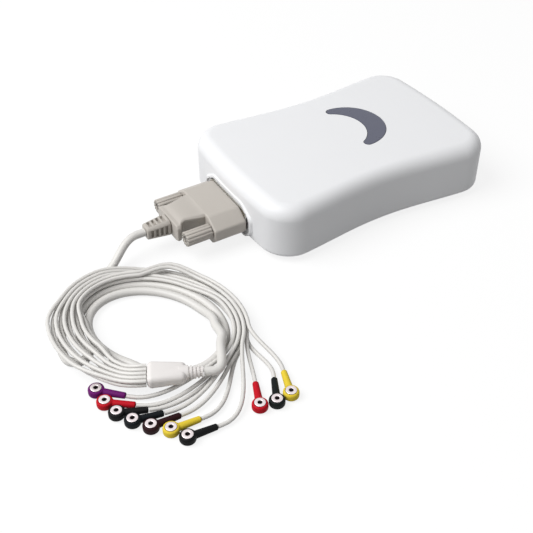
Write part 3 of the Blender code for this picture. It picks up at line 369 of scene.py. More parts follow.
ivory_lining = grained(moulded_grain, "ivory_lining", (0.66, 0.65, 0.60), 0.45, 3000.0, 0.000008, 0.05)
lining_clear = 0.00003
lining = to_object(
    "usb_lining",
    pushed(
        inlet_outline(
            inlet_back_x + inlet_shell_metal + lining_clear,
            inlet_width - 2 * (inlet_shell_metal + lining_clear),
            inlet_height - 2 * (inlet_shell_metal + lining_clear),
        ),
        (inlet_depth - inlet_shell_metal - inlet_lining_setback, 0, 0),
    ),
    ivory_lining,
)
lining_floor_x = inlet_back_x + 0.0042
cut(lining, pushed(inlet_outline(lining_floor_x, inlet_mouth_width, inlet_mouth_height), (inlet_depth, 0, 0)))
fitted(bevelled(lining, 0.0002, 2), "recorder", "usb_insulator", "usb_inlet_shell")

tongue = to_object(
    "usb_tongue",
    box_form(
        (lining_floor_x - 0.0001, -tongue_width / 2, inlet_middle_z - tongue_height / 2),
        (inlet_face_x - tongue_setback, tongue_width / 2, inlet_middle_z + tongue_height / 2),
    ),
    ivory_lining,
)
fitted(bevelled(tongue, 0.0004, 3), "recorder", "usb_insulator", "usb_inlet_tongue")
contact_gold = grained(drawn_metal, "contact_gold", (0.83, 0.62, 0.25), 0.26, 2500.0, 0.000003, 0.08, 1.0)
strip_forms = []
for level in (-1, 1):
    for side in (-1, 1):
        strip_y = side * strip_pitch / 2
        face_z = inlet_middle_z + level * tongue_height / 2
        strip_forms.append(
            box_form(
                (lining_floor_x, strip_y - strip_width / 2, face_z - strip_thickness),
                (inlet_face_x - 2 * tongue_setback, strip_y + strip_width / 2, face_z + strip_thickness),
            )
        )
strips = to_object("usb_contacts", joined_forms(*strip_forms), contact_gold)
fitted(strips, "recorder", "gold_plated_contact")

# Bottom plate and its screws.
# A flat ABS floor, grained, that sits half a millimetre inside the cover's rim. Four zinc-plated screws with
# cross recesses go up through it and the board into the cover's bosses.
plate_grey = grained(moulded_grain, "plate_plastic", (0.74, 0.74, 0.75), 0.50, 1300.0, 0.00004, 0.04)
dress(plate_grey, "bottom_cover")
screw_radius = 0.0015
screw_head_radius = 0.0027
screw_head_height = 0.0016
screw_recess_depth = 0.0009
screw_recess_width = 0.0007
screw_recess_reach = 0.0032


def spun(profile, place, steps):
    """A solid of revolution: (radius, height) pairs, spun round Z and put in place."""
    bm = bmesh.new()
    points = [bm.verts.new((radius, 0, height)) for radius, height in profile]
    edges = [bm.edges.new(pair) for pair in zip(points, points[1:])]
    bmesh.ops.spin(
        bm, geom=points + edges, cent=(0, 0, 0), axis=(0, 0, 1), angle=2 * math.pi, steps=steps, use_merge=True
    )
    bmesh.ops.remove_doubles(bm, verts=bm.verts, dist=0.000002)
    bmesh.ops.recalc_face_normals(bm, faces=bm.faces)
    bm.transform(place)
    return bm


def arc(centre, radius, start_degrees, end_degrees, steps):
    """(radius, height) pairs along an arc, for a spun profile."""
    pairs = []
    for step in range(steps + 1):
        angle = math.radians(start_degrees + (end_degrees - start_degrees) * step / steps)
        pairs.append((centre[0] + radius * math.cos(angle), centre[1] + radius * math.sin(angle)))
    return pairs


for number in (1, 2, 3, 4):
    node = "case_screw_%d" % number
    low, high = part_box(node)
    middle_x = (low.x + high.x) / 2
    middle_y = (low.y + high.y) / 2
    edge = 0.0004
    screw = to_object(
        "plate_screw_%d" % number,
        spun(
            [(0, low.z)]
            + arc((screw_head_radius - edge, low.z + edge), edge, -90, 0, 4)
            + [(screw_head_radius, low.z + screw_head_height), (screw_radius, low.z + screw_head_height)]
            + [(screw_radius, high.z - screw_radius), (screw_radius / 3, high.z), (0, high.z)],
            Matrix.Translation((middle_x, middle_y, 0)),
            32,
        ),
        zinc_steel,
    )
    for wide, deep in ((screw_recess_reach, screw_recess_width), (screw_recess_width, screw_recess_reach)):
        cut(
            screw,
            box_form(
                (middle_x - wide / 2, middle_y - deep / 2, low.z - screw_recess_depth),
                (middle_x + wide / 2, middle_y + deep / 2, low.z + screw_recess_depth),
            ),
        )
    fitted(screw, "recorder", "zinc_plated_steel", node)

# Foot strips.
# Two soft black rubber strips with ribs across them, stuck in the bottom plate's recesses.
# The recorder's whole weight rests on them.
rubber = grained(moulded_grain, "foot_rubber", (0.045, 0.045, 0.047), 0.80, 2200.0, 0.00005, 0.30)
foot_rib_pitch = 0.0028
foot_rib_depth = 0.0003
for node in ("foot_strip_plug_end", "foot_strip_usb_end"):
    low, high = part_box(node)
    strip = box_form(low, high)
    upright = [e for e in strip.edges if abs((e.verts[0].co - e.verts[1].co).z) > 0.0001]
    bmesh.ops.bevel(
        strip, geom=upright, offset=0.0024, segments=6, profile=0.5, affect="EDGES", material=-1, clamp_overlap=True
    )
    pad = to_object(node + "_pad", strip, rubber)
    grooves = []
    count = int((high.y - low.y) / foot_rib_pitch) - 1
    for step in range(count):
        groove_y = low.y + foot_rib_pitch * (step + 1)
        grooves.append(
            box_form(
                (low.x - foot_rib_pitch, groove_y - foot_rib_pitch / 6, low.z - foot_rib_depth),
                (high.x + foot_rib_pitch, groove_y + foot_rib_pitch / 6, low.z + foot_rib_depth),
            )
        )
    cut(pad, joined_forms(*grooves))
    fitted(pad, "recorder", "foot_rubber", node)

# Case cover.
# The upper shell of the recorder, injection moulded in white ABS with walls of 2.5 mm. Its ends bow out, its long
# sides draw in at the middle, and a collar grows out of one end round the patient connector.
case_middle_x = 0.00025
case_length = 0.1400
case_width = 0.1006
end_bulge = 0.0033
waist_inset = 0.0057
case_bottom = 0.0028
case_top = 0.0340
case_corner = 0.0165
top_round = 0.0080
bottom_round = 0.0030
case_wall = 0.0025
plug_face_x = case_middle_x - case_length / 2 - 0.0030
connector_z = 0.0134
screw_half_spacing = 0.01666
collar_lip = 0.0012
collar_clearance = 0.0014
collar_projection = 0.0008
collar_flare = 0.0036
collar_root_depth = 0.0060
opening_half_width = 0.0203
opening_half_height = 0.0056
overrun = 0.002


def waisted(x, y):
    """Bows the short ends outwards and draws the long sides in at the middle."""
    half_length = case_length / 2
    half_width = case_width / 2
    bow = end_bulge * (1 - min(1.0, abs(y) / half_width) ** 2)
    draw = waist_inset * math.cos(math.pi / 2 * min(1.0, abs(x) / half_length)) ** 2
    return case_middle_x + x * (1 + bow / half_length), y * (1 - draw / half_width)


def cover_form(inset, low, high, upper_round, lower_round):
    """The case's rounded form, drawn in by inset on every side, between two heights."""
    half_x = case_length / 2 - inset
    half_y = case_width / 2 - inset
    bm = box_form((-half_x, -half_y, low), (half_x, half_y, high))
    upright = [e for e in bm.edges if abs((e.verts[0].co - e.verts[1].co).z) > (high - low) / 2]
    bmesh.ops.bevel(
        bm,
        geom=upright,
        offset=case_corner - inset,
        segments=14,
        profile=0.5,
        affect="EDGES",
        material=-1,
        clamp_overlap=False,
    )
    for height, rounding, steps in ((high, upper_round, 10), (low, lower_round, 5)):
        if rounding:
            rim = [
                e
                for e in bm.edges
                if all(abs(v.co.z - height) < 0.000001 for v in e.verts)
                and any(abs(f.normal.z) < 0.5 for f in e.link_faces)
            ]
            bmesh.ops.bevel(
                bm,
                geom=rim,
                offset=rounding,
                segments=steps,
                profile=0.5,
                affect="EDGES",
                material=-1,
                clamp_overlap=False,
            )
    for axis, half, count in ((0, half_x, 32), (1, half_y, 22)):
        straight = half - case_corner
        for step in range(count + 1):
            place = [0.0, 0.0, 0.0]
            normal = [0.0, 0.0, 0.0]
            place[axis] = straight * (2 * step / count - 1)
            normal[axis] = 1.0
            bmesh.ops.bisect_plane(
                bm, geom=bm.verts[:] + bm.edges[:] + bm.faces[:], dist=0.0000001, plane_co=place, plane_no=normal
            )
    for vert in bm.verts:
        vert.co.x, vert.co.y = waisted(vert.co.x, vert.co.y)
    return bm


def hood_outline(x, grow):
    """The plug hood's outline at this x, grown by this much on every side."""
    half = 0.0220 + grow
    top = 0.0140 + grow / 2
    bottom = 0.0180 + grow / 2
    right = [
        (x, bottom, max(connector_z - 0.0078 - grow, case_bottom + 0.0003)),
        (x, half, connector_z - 0.0040 - grow / 2),
        (x, half, connector_z + 0.0020 + grow / 2),
        (x, top, connector_z + 0.0070 + grow),
    ]
    return right + [(x, -y, z) for x, y, z in reversed(right)]


def lofted(sections):
    """A closed solid through sections that have the same number of corners."""
    bm = bmesh.new()
    rings = []
    for corners in sections:
        ring = [bm.verts.new(corner) for corner in corners]
        rings.append([bm.edges.new(pair) for pair in zip(ring, ring[1:] + ring[:1])])
    for first, second in zip(rings, rings[1:]):
        bmesh.ops.bridge_loops(bm, edges=first + second)
    for ring in (rings[0], rings[-1]):
        bmesh.ops.contextual_create(bm, geom=ring)
    bmesh.ops.recalc_face_normals(bm, faces=bm.faces)
    return bm


def rounded_edges(bm, offset, segments, chosen):
    """Bevels the edges that the test picks."""
    bmesh.ops.bevel(
        bm,
        geom=[e for e in bm.edges if chosen(e)],
        offset=offset,
        segments=segments,
        profile=0.5,
        affect="EDGES",
        material=-1,
        clamp_overlap=True,
    )
    return bm


def runs_lengthwise(edge):
    span = edge.verts[0].co - edge.verts[1].co
    return abs(span.x) > 0.7 * span.length and edge.calc_face_angle(0.0) > math.radians(12)


white_case = grained(moulded_grain, "white_case_plastic", (0.800, 0.805, 0.820), 0.46, 1500.0, 0.000010, 0.015)
white_case.node_tree.nodes["Principled BSDF"].inputs["Specular IOR Level"].default_value = 0.38
cover = to_object("case_cover", cover_form(0.0, case_bottom, case_top, top_round, bottom_round), white_case)
collar_root_x = plug_face_x + collar_root_depth
collar_front_x = plug_face_x - collar_projection
lip = collar_clearance + collar_lip
collar = lofted(
    [
        hood_outline(collar_root_x, lip + collar_flare),
        hood_outline(collar_front_x + collar_lip, lip + collar_flare / 4),
        hood_outline(collar_front_x, lip),
    ]
)
cut(cover, rounded_edges(collar, 0.0022, 5, runs_lengthwise), "UNION")
cut(cover, cover_form(case_wall, case_bottom - overrun, case_top - case_wall, top_round - case_wall, 0.0))
mouth = lofted(
    [
        hood_outline(collar_front_x - overrun, collar_clearance),
        hood_outline(plug_face_x + 0.0003, collar_clearance),
    ]
)
cut(cover, rounded_edges(mouth, 0.0012, 4, runs_lengthwise))
inlet_clear = 0.0003
cut(
    cover,
    joined_forms(
        box_form(
            (collar_front_x - overrun, -opening_half_width, connector_z - opening_half_height),
            (collar_root_x + overrun, opening_half_width, connector_z + opening_half_height),
        ),
        box_form(
            (
                inlet_face_x - case_wall - end_bulge - overrun,
                -inlet_width / 2 - inlet_clear,
                inlet_middle_z - inlet_height / 2 - inlet_clear,
            ),
            (inlet_face_x + overrun, inlet_width / 2 + inlet_clear, inlet_middle_z + inlet_height / 2 + inlet_clear),
        ),
    ),
)

# Crescent window.
# A grey-blue acrylic crescent that snaps up into the cover from inside, flush with its top, over the lamp.
# A flange under the top holds it, and a square light pipe reaches down to the lamp on the board.
crescent_x = case_middle_x + 0.0082
crescent_y = 0.0036
crescent_outer_radius = 0.0217
crescent_inner_radius = 0.0189
crescent_inner_shift = 0.0101
window_seat = 0.0003
window_flange = 0.0014
window_flange_thickness = 0.0012
window_proud = 0.0001


def crescent_outline(grow, z):
    """The crescent's outline at this height, grown all round, its tips rounded off."""
    outer_middle = Vector((crescent_x, crescent_y))
    inner_middle = Vector((crescent_x - crescent_inner_shift, crescent_y))
    outer = [outer_middle + Vector(pair) for pair in arc((0, 0), crescent_outer_radius + grow, -87, 87, 60)]
    inner = [inner_middle + Vector(pair) for pair in arc((0, 0), crescent_inner_radius - grow, 58, -58, 48)]
    outline = list(outer)
    for start, end, tail in ((outer[-1], inner[0], inner), (inner[-1], outer[0], [])):
        middle = (start + end) / 2
        spoke = start - middle
        outline += [middle + Matrix.Rotation(math.pi * step / 9, 2) @ spoke for step in range(1, 9)]
        outline += tail
    return [(point.x, point.y, z) for point in outline]


ceiling = case_top - case_wall
cut(cover, pushed(crescent_outline(0.0, ceiling - overrun), (0, 0, case_wall + 2 * overrun)))
fitted(cover, "recorder", "white_case_plastic", "top_cover")
weigh = cover.modifiers.new("face_weighted_normals", "WEIGHTED_NORMAL")
weigh.keep_sharp = True

window_blue = grained(moulded_grain, "window_acrylic", (0.070, 0.076, 0.118), 0.30, 600.0, 0.000002, 0.10)
window_shader = window_blue.node_tree.nodes["Principled BSDF"]
window_shader.inputs["Coat Weight"].default_value = 0.10
window_shader.inputs["Coat Roughness"].default_value = 0.15
window = to_object(
    "crescent_lens", pushed(crescent_outline(-window_seat, ceiling - window_seat), (0, 0, case_wall + window_seat + window_proud)), window_blue
)
cut(
    window,
    pushed(
        crescent_outline(window_flange, ceiling - window_seat - window_flange_thickness),
        (0, 0, window_flange_thickness + 0.00001),
    ),
    "UNION",
)
fitted(bevelled(window, 0.0002, 2), "recorder", "grey_blue_window", "crescent_window")
weigh = window.modifiers.new("face_weighted_normals", "WEIGHTED_NORMAL")
weigh.keep_sharp = True

# Plug of the patient cable: pins, insulator and shell.
# Gold-plated turned pins in a black insulator, inside a drawn steel shell whose flange the hood is moulded to.
# The shell slides round the socket's shell, and the two thumbscrews hold the flanges together.
dress(contact_gold, "plug_pins")
dress(
    grained(moulded_grain, "plug_insulator_black", (0.020, 0.020, 0.022), 0.50, 3000.0, 0.00001, 0.15),
    "plug_insulator",
)
dress(nickel_shell, "plug_shell")

# Plug hood.
# Warm grey vinyl, moulded over the plug in one shot: a broad block behind the flange, then a neck that narrows
# between the two knobs and flares out again to a shoulder at its rear.
hood_vinyl = grained(moulded_grain, "hood_vinyl", (0.470, 0.438, 0.400), 0.50, 1700.0, 0.000022, 0.05)
hood_front_x = plug_face_x - 0.0011
hood_rear_x = hood_front_x - 0.0190
hood_pocket_depth = 0.0103
hood_pocket_half_width = 0.0148
hood_pocket_half_height = 0.0058
hood_screw_hole = 0.00185
# Distance behind the block, half width, reach over and under the axis, and how far the sides lie in under the top
neck_stations = (
    (-0.0030, 0.0115, 0.0067, 0.0078, 0.0),
    (-0.0012, 0.0115, 0.0069, 0.0078, 0.0002),
    (0.0030, 0.0110, 0.0069, 0.0078, 0.0010),
    (0.0070, 0.0099, 0.0068, 0.0078, 0.0018),
    (0.0110, 0.0089, 0.0067, 0.0078, 0.0022),
    (0.0130, 0.0095, 0.0060, 0.0066, 0.0016),
    (0.0145, 0.0117, 0.0050, 0.0052, 0.0),
    (0.0167, 0.0117, 0.0050, 0.0052, 0.0),
)
neck_roof = 0.0034


def neck_outline(x, half, rise, drop, undercut):
    """The neck's outline at this x: half its width, its reach over and under the axis, and its sides' recess."""
    edge = half / 8
    wall = half - undercut
    right = [
        (x, wall - 2 * edge, connector_z - drop),
        (x, wall, connector_z - 0.0040),
        (x, wall, connector_z + rise - neck_roof),
        (x, half, connector_z + rise - edge),
        (x, half - edge, connector_z + rise),
    ]
    return right + [(x, -y, z) for x, y, z in reversed(right)]


def outer_corner(edge):
    return edge.calc_face_angle(0.0) > math.radians(28)


hood_block = lofted([hood_outline(hood_front_x, 0.0), hood_outline(hood_rear_x, 0.0)])
hood = to_object("plug_hood_moulding", rounded_edges(hood_block, 0.0010, 4, outer_corner), hood_vinyl)
neck = lofted([neck_outline(hood_rear_x - back, *section) for back, *section in neck_stations])
cut(hood, rounded_edges(neck, 0.0006, 3, outer_corner), "UNION")
cut(
    hood,
    box_form(
        (hood_front_x - hood_pocket_depth, -hood_pocket_half_width, connector_z - hood_pocket_half_height),
        (hood_front_x + overrun, hood_pocket_half_width, connector_z + hood_pocket_half_height),
    ),
)


def towards_cable(x, y, z):
    """The frame of a turned piece whose axis runs towards the cable, along -X, from this point."""
    return Matrix.Translation((x, y, z)) @ Matrix.Rotation(-math.pi / 2, 4, "Y")


for side in (-1, 1):
    cut(
        hood,
        spun(
            [(0, -overrun), (hood_screw_hole, -overrun), (hood_screw_hole, 0.0210), (0, 0.0210)],
            towards_cable(hood_front_x, side * screw_half_spacing, connector_z),
            24,
        ),
    )
fitted(hood, "patient_cable", "warm_grey_hood", "plug_hood")

# Thumbscrews.
# Two long knobs of the same vinyl with lengthwise flutes, each moulded on a steel screw that runs through the
# hood into a threaded post of the recorder. Each turns by itself.
knob_radius = 0.0041
knob_length = 0.0147
knob_flutes = 12
knob_flute_depth = 0.0006
knob_front_x = hood_rear_x - 0.0004
shaft_radius = 0.00145
shaft_tip = 0.0042
thread_pitch = 0.000635
thread_depth = 0.00025
thread_turns = 7


def flute_dip(angle):
    """How far the knob's side lies inside its full radius at this angle: narrow grooves between broad ribs."""
    return knob_flute_depth * (0.5 + 0.5 * math.cos(knob_flutes * angle)) ** 3


def knob_form():
    bm = bmesh.new()
    rim = bmesh.ops.create_circle(bm, cap_ends=True, radius=knob_radius, segments=knob_flutes * 8)["verts"]
    for vert in rim:
        vert.co *= 1 - flute_dip(math.atan2(vert.co.y, vert.co.x)) / knob_radius
    made = bmesh.ops.extrude_face_region(bm, geom=bm.faces[:])["geom"]
    bmesh.ops.translate(bm, vec=(0, 0, knob_length), verts=[v for v in made if isinstance(v, bmesh.types.BMVert)])
    bmesh.ops.recalc_face_normals(bm, faces=bm.faces)
    ends = [e for e in bm.edges if abs(e.calc_face_angle(0.0)) > math.radians(60)]
    bmesh.ops.bevel(
        bm, geom=ends, offset=0.0005, segments=3, profile=0.5, affect="EDGES", material=-1, clamp_overlap=True
    )
    face = max(bm.faces, key=lambda f: f.calc_center_median().z)
    bmesh.ops.inset_region(bm, faces=[face], thickness=0.0010, depth=0.0)
    bmesh.ops.inset_region(bm, faces=[face], thickness=0.0002, depth=-0.0004)
    return bm


for name, body, side in (("near", "thumbscrew_near", -1), ("far", "thumbscrew_far", 1)):
    place = towards_cable(knob_front_x, side * screw_half_spacing, connector_z)
    form = knob_form()
    form.transform(place)
    knob = to_object("thumbscrew_knob_" + name, form, hood_vinyl)
    fitted(knob, body, "warm_grey_hood", body)
    reach = plug_face_x + shaft_tip - knob_front_x
    profile = [(0, knob_length / 2), (shaft_radius, knob_length / 2)]
    thread_start = -reach + thread_turns * thread_pitch
    for turn in range(thread_turns):
        crest = thread_start - turn * thread_pitch
        profile += [(shaft_radius, crest), (shaft_radius - thread_depth, crest - thread_pitch / 2)]
    profile += [(shaft_radius - thread_depth, -reach + thread_pitch / 4), (shaft_radius - 2 * thread_depth, -reach)]
    profile += [(0, -reach)]
    shaft = to_object("thumbscrew_shaft_" + name, spun(profile, place, 24), zinc_steel, 50)
    fitted(shaft, body, "zinc_plated_steel", body)

# Ladder strain relief.
# Moulded on the cable's jacket in the hood's vinyl: a square tapered sleeve, cut by four slots on each of its four
# faces so that it bends, with a round collar where the cable leaves it.
relief_front_x = hood_rear_x - 0.0167 - 0.0003
relief_length = 0.0132
relief_root_half = 0.0050
relief_tip_half = 0.0037
relief_slots = 4
relief_slot_width = 0.0016
relief_slot_depth = 0.0018


def relief_section(x, half):
    edge = half / 3
    right = [(half - edge, -half), (half, edge - half), (half, half - edge), (half - edge, half)]
    around = right + [(-y, z) for y, z in reversed(right)]
    return [(x, y, connector_z + z) for y, z in around]


relief_form = lofted(
    [relief_section(relief_front_x, relief_root_half), relief_section(relief_front_x - relief_length, relief_tip_half)]
)
rounded_edges(relief_form, 0.0007, 4, lambda edge: edge.calc_face_angle(0.0) > math.radians(30))
relief = to_object("strain_relief", relief_form, hood_vinyl)
slot_forms = []
relief_pitch = relief_length / (relief_slots + 1)
for step in range(relief_slots):
    slot_x = relief_front_x - relief_pitch * (step + 1)
    half = relief_root_half + (relief_tip_half - relief_root_half) * (step + 1) / (relief_slots + 1)
    floor = half - relief_slot_depth
    for side in (-1, 1):
        near, far = sorted((side * floor, side * (half + overrun)))
        wide = half * 0.56
        thin = relief_slot_width / 2
        slot_forms.append(
            box_form((slot_x - thin, -wide, connector_z + near), (slot_x + thin, wide, connector_z + far))
        )
        slot_forms.append(
            box_form((slot_x - thin, near, connector_z - wide), (slot_x + thin, far, connector_z + wide))
        )
cut(relief, joined_forms(*slot_forms))
fitted(bevelled(relief, 0.00018, 2, 50), "patient_cable", "warm_grey_hood", "plug_strain_relief")

# Trunk cable.
# A round cable of 4.4 mm in pale grey vinyl, with the ten shielded leads inside. It drops from the strain relief to
# the table, turns back in a hairpin and goes round once more, up to the splitter, half a metre in all.
trunk_diameter = 0.0044
lead_diameter = 0.0020
table_gap = 0.0003
lay_gap = 0.0005
seat_gap = 0.0003
running_gap = 0.0004
coil_x = plug_face_x - 0.0749
coil_y = -0.0569
coil_half_length = 0.0305
coil_half_width = 0.0225
coil_turn = math.radians(-58.5)
floor_z = table_gap + trunk_diameter / 2
trunk_pitch = trunk_diameter + lay_gap
over_z = floor_z + trunk_pitch
inner_lane = 0.0024
second_lane = inner_lane + trunk_pitch
bend_radius = 0.0058
hairpin_lane = second_lane + 2 * bend_radius
left_lane = 0.0150
arrive_lane = 0.0190
arrive_degrees = 156
hairpin_degrees = 240
yoke_z = 0.0095
yoke_angle = math.radians(-52)
yoke_lane = 0.0128
yoke_length = 0.0178
yoke_width = 0.0130
yoke_height = 0.0074
yoke_relief_length = 0.0075
fine_step = 5.0


def ring_point(angle, lane, height):
    """The point of a lane at this angle: lane is its distance outside the coil's ellipse."""
    flat = Matrix.Rotation(coil_turn, 2) @ Vector(
        ((coil_half_length + lane) * math.cos(angle), (coil_half_width + lane) * math.sin(angle))
    )
    return Vector((coil_x + flat.x, coil_y + flat.y, height))


def heading(angle, lane):
    """The direction of travel, clockwise from above, along a lane at this angle."""
    step = math.radians(1)
    return (ring_point(angle - step, lane, 0.0) - ring_point(angle + step, lane, 0.0)).normalized()


def eased(share):
    share = max(0.0, min(1.0, share))
    return share * share * (3 - 2 * share)


def station(keys, degrees):
    """Lane and height at an angle, eased between keys of (degrees, lane, height) in order of travel."""
    direction = 1 if keys[-1][0] > keys[0][0] else -1
    for first, second in zip(keys, keys[1:]):
        if direction * degrees <= direction * second[0]:
            blend = eased((degrees - first[0]) / (second[0] - first[0]))
            return first[1] + (second[1] - first[1]) * blend, first[2] + (second[2] - first[2]) * blend
    return keys[-1][1], keys[-1][2]


def lane_points(keys):
    """Points along a strand from its first key to its last."""
    start = keys[0][0]
    end = keys[-1][0]
    count = max(1, round(abs(end - start) / fine_step))
    stops = [start + (end - start) * step / count for step in range(count + 1)]
    return [ring_point(math.radians(stop), *station(keys, stop)) for stop in stops]


def bridge_points(start, start_way, end, end_way, count, pull=1.0):
    """Points of a smooth curve from start to end, leaving and arriving in the given directions."""
    reach = pull * (end - start).length
    points = []
    for step in range(count + 1):
        t = step / count
        points.append(
            start * (2 * t**3 - 3 * t**2 + 1)
            + start_way * reach * (t**3 - 2 * t**2 + t)
            + end * (3 * t**2 - 2 * t**3)
            + end_way * reach * (t**3 - t**2)
        )
    return points


def cord_curve(name, points, diameter, material):
    """A round cord along these points, as a curve of one open spline."""
    data = bpy.data.curves.new(name, "CURVE")
    data.dimensions = "3D"
    data.bevel_depth = diameter / 2
    data.bevel_resolution = 4
    data.use_fill_caps = True
    spline = data.splines.new("POLY")
    spline.points.add(len(points) - 1)
    for target, point in zip(spline.points, points):
        target.co = (*point, 1.0)
    spline.use_smooth = True
    data.materials.append(material)
    made = bpy.data.objects.new(name, data)
    bpy.context.scene.collection.objects.link(made)
    return made


outward_keys = [
    (arrive_degrees, arrive_lane, floor_z),
    (184, left_lane, floor_z),
    (214, left_lane, floor_z),
    (hairpin_degrees, hairpin_lane, floor_z),
]
inward_keys = [
    (hairpin_degrees - 360, second_lane, floor_z),
    (-410, second_lane, floor_z),
    (-446, inner_lane, floor_z),
    (-652, inner_lane, floor_z),
    (-690, inner_lane, over_z),
    (-716, second_lane, yoke_z),
]
yoke_middle = ring_point(yoke_angle, yoke_lane, yoke_z)
yoke_way = heading(yoke_angle, yoke_lane)
yoke_across = Vector((-yoke_way.y, yoke_way.x, 0.0))
if yoke_across.dot(yoke_middle - Vector((coil_x, coil_y, yoke_z))) < 0:
    yoke_across = -yoke_across

outward = lane_points(outward_keys)
arrive_way = (outward[1] - outward[0]).normalized()
relief_tip = Vector((relief_front_x - relief_length - seat_gap, 0.0, connector_z))
trunk_points = [relief_tip]
trunk_points += bridge_points(
    relief_tip - Vector((trunk_diameter, 0.0, 0.0)),
    Vector((-1.0, 0.0, 0.0)),
    outward[0] - arrive_way * (trunk_diameter + seat_gap),
    arrive_way,
    24,
    1.05,
)
trunk_points += outward
hairpin_end = ring_point(math.radians(hairpin_degrees), second_lane, floor_z)
hairpin_middle = (outward[-1] + hairpin_end) / 2
hairpin_spoke = outward[-1] - hairpin_middle
for step in range(1, 24):
    trunk_points.append(hairpin_middle + Matrix.Rotation(math.pi * step / 24, 3, "Z") @ hairpin_spoke)
trunk_points += lane_points(inward_keys)
trunk_entry = yoke_middle - yoke_way * (yoke_length / 2 + yoke_relief_length + seat_gap)
leave_way = (trunk_points[-1] - trunk_points[-2]).normalized()
trunk_stub = trunk_entry - yoke_way * trunk_diameter
trunk_points += bridge_points(trunk_points[-1], leave_way, trunk_stub, yoke_way, 8)[1:]
trunk_points.append(trunk_entry)

cord_vinyl = grained(moulded_grain, "cord_vinyl", (0.690, 0.676, 0.652), 0.42, 900.0, 0.000012, 0.06)
trunk = cord_curve("trunk_cable", trunk_points, trunk_diameter, cord_vinyl)
fitted(trunk, "patient_cable", "warm_grey_cord", "trunk_cable_run", "trunk_cable_coil")

# Splitter.
# A pale soft block, moulded over the place where the trunk's jacket ends and the ten leads come out, five in each
# of two rows. Its trunk side is smaller and carries a ribbed relief.
yoke_relief_radius = 0.0034
yoke_relief_tip_radius = 0.0027
yoke_relief_ribs = 4
yoke_relief_groove = 0.0006
lead_collar_radius = 0.00115
lead_collar_length = 0.0009
lead_pitch = lead_diameter + running_gap
yoke_vinyl = grained(moulded_grain, "splitter_vinyl", (0.770, 0.740, 0.725), 0.44, 1500.0, 0.000020, 0.04)
yoke_frame = Matrix.Translation(yoke_middle) @ Matrix.Rotation(math.atan2(yoke_way.y, yoke_way.x), 4, "Z")
yoke_form = box_form(
    (-yoke_length / 2, -yoke_width / 2, -yoke_height / 2), (yoke_length / 2, yoke_width / 2, yoke_height / 2)
)
for vert in yoke_form.verts:
    if vert.co.x < 0:
        vert.co.y *= 0.80
        vert.co.z *= 0.80
bmesh.ops.bevel(
    yoke_form, geom=yoke_form.edges[:], offset=0.0025, segments=7, profile=0.5, affect="EDGES", material=-1
)
yoke_form.transform(yoke_frame)
yoke = to_object("splitter", yoke_form, yoke_vinyl)
rib_pitch = yoke_relief_length / (2 * yoke_relief_ribs + 1)
root = -yoke_length / 2
profile = [(0, root + yoke_relief_radius), (yoke_relief_radius, root + yoke_relief_radius), (yoke_relief_radius, root)]
for step in range(2 * yoke_relief_ribs):
    height = root - rib_pitch * (step + 1)
    outer = yoke_relief_radius + (yoke_relief_tip_radius - yoke_relief_radius) * (root - height) / yoke_relief_length
    inner = outer - yoke_relief_groove
    profile += [(outer, height), (inner, height)] if step % 2 == 0 else [(inner, height), (outer, height)]
profile += [(yoke_relief_tip_radius, root - yoke_relief_length), (0, root - yoke_relief_length)]
cut(yoke, spun(profile, yoke_frame @ Matrix.Rotation(math.pi / 2, 4, "Y"), 32), "UNION")
yoke.data.materials.clear()
yoke.data.materials.append(yoke_vinyl)
fitted(yoke, "patient_cable", "pale_yoke", "yoke_housing")

# Ten leads.
# Thin shielded cords of 2 mm in the same pale grey vinyl. They leave the splitter in two rows of five, go once
# round with the trunk, and fan out to their connectors, each about a quarter of a metre long.
low_row = floor_z + trunk_diameter / 2 + lead_diameter / 2 + lay_gap
high_row = low_row + lead_pitch
table_row = table_gap + lead_diameter / 2
middle_row = table_row + lead_pitch
exit_lane = 0.0094
spread_lane = 0.0032
spread_pitch = 2 * lead_diameter
settled_lane = 0.0079
outer_first_lane = 0.0126
fanned_lane = 0.0112
boot_reach = 0.0140
stem_z = 0.0019

# Name, middle of the head from the coil's middle, the way its stem points, column and row at the splitter, the
# angle where the lead leaves the ring, its length, and the boot's colour
leads = [
    ("purple", (-0.0391, -0.0237), -43, 0, "low", -16, 0.235, (0.130, 0.008, 0.135)),
    ("red", (-0.0387, -0.0323), -36, 2, "high", -10, 0.258, (0.500, 0.006, 0.016)),
    ("black_one", (-0.0367, -0.0407), -22, 2, "low", -5, 0.253, (0.0040, 0.0040, 0.0046)),
    ("black_two", (-0.0325, -0.0483), -12, 1, "low", 2, 0.240, (0.0030, 0.0050, 0.0070)),
    ("brown", (-0.0270, -0.0554), -3, 3, "high", 2, 0.261, (0.018, 0.003, 0.005)),
    ("yellow", (-0.0203, -0.0615), -4, 3, "low", 5, 0.257, (0.740, 0.560, 0.045)),
    ("black_three", (-0.0161, -0.0689), -5, 0, "high", 15, 0.239, (0.0040, 0.0042, 0.0048)),
    ("limb_red", (0.0197, -0.0695), 68, 4, "high", 20, 0.247, (0.500, 0.006, 0.016)),
    ("limb_black", (0.0275, -0.0713), 64, 4, "low", 24, 0.245, (0.0034, 0.0060, 0.0060)),
    ("limb_yellow", (0.0354, -0.0705), 72, 1, "high", 30, 0.219, (0.740, 0.560, 0.045)),
]


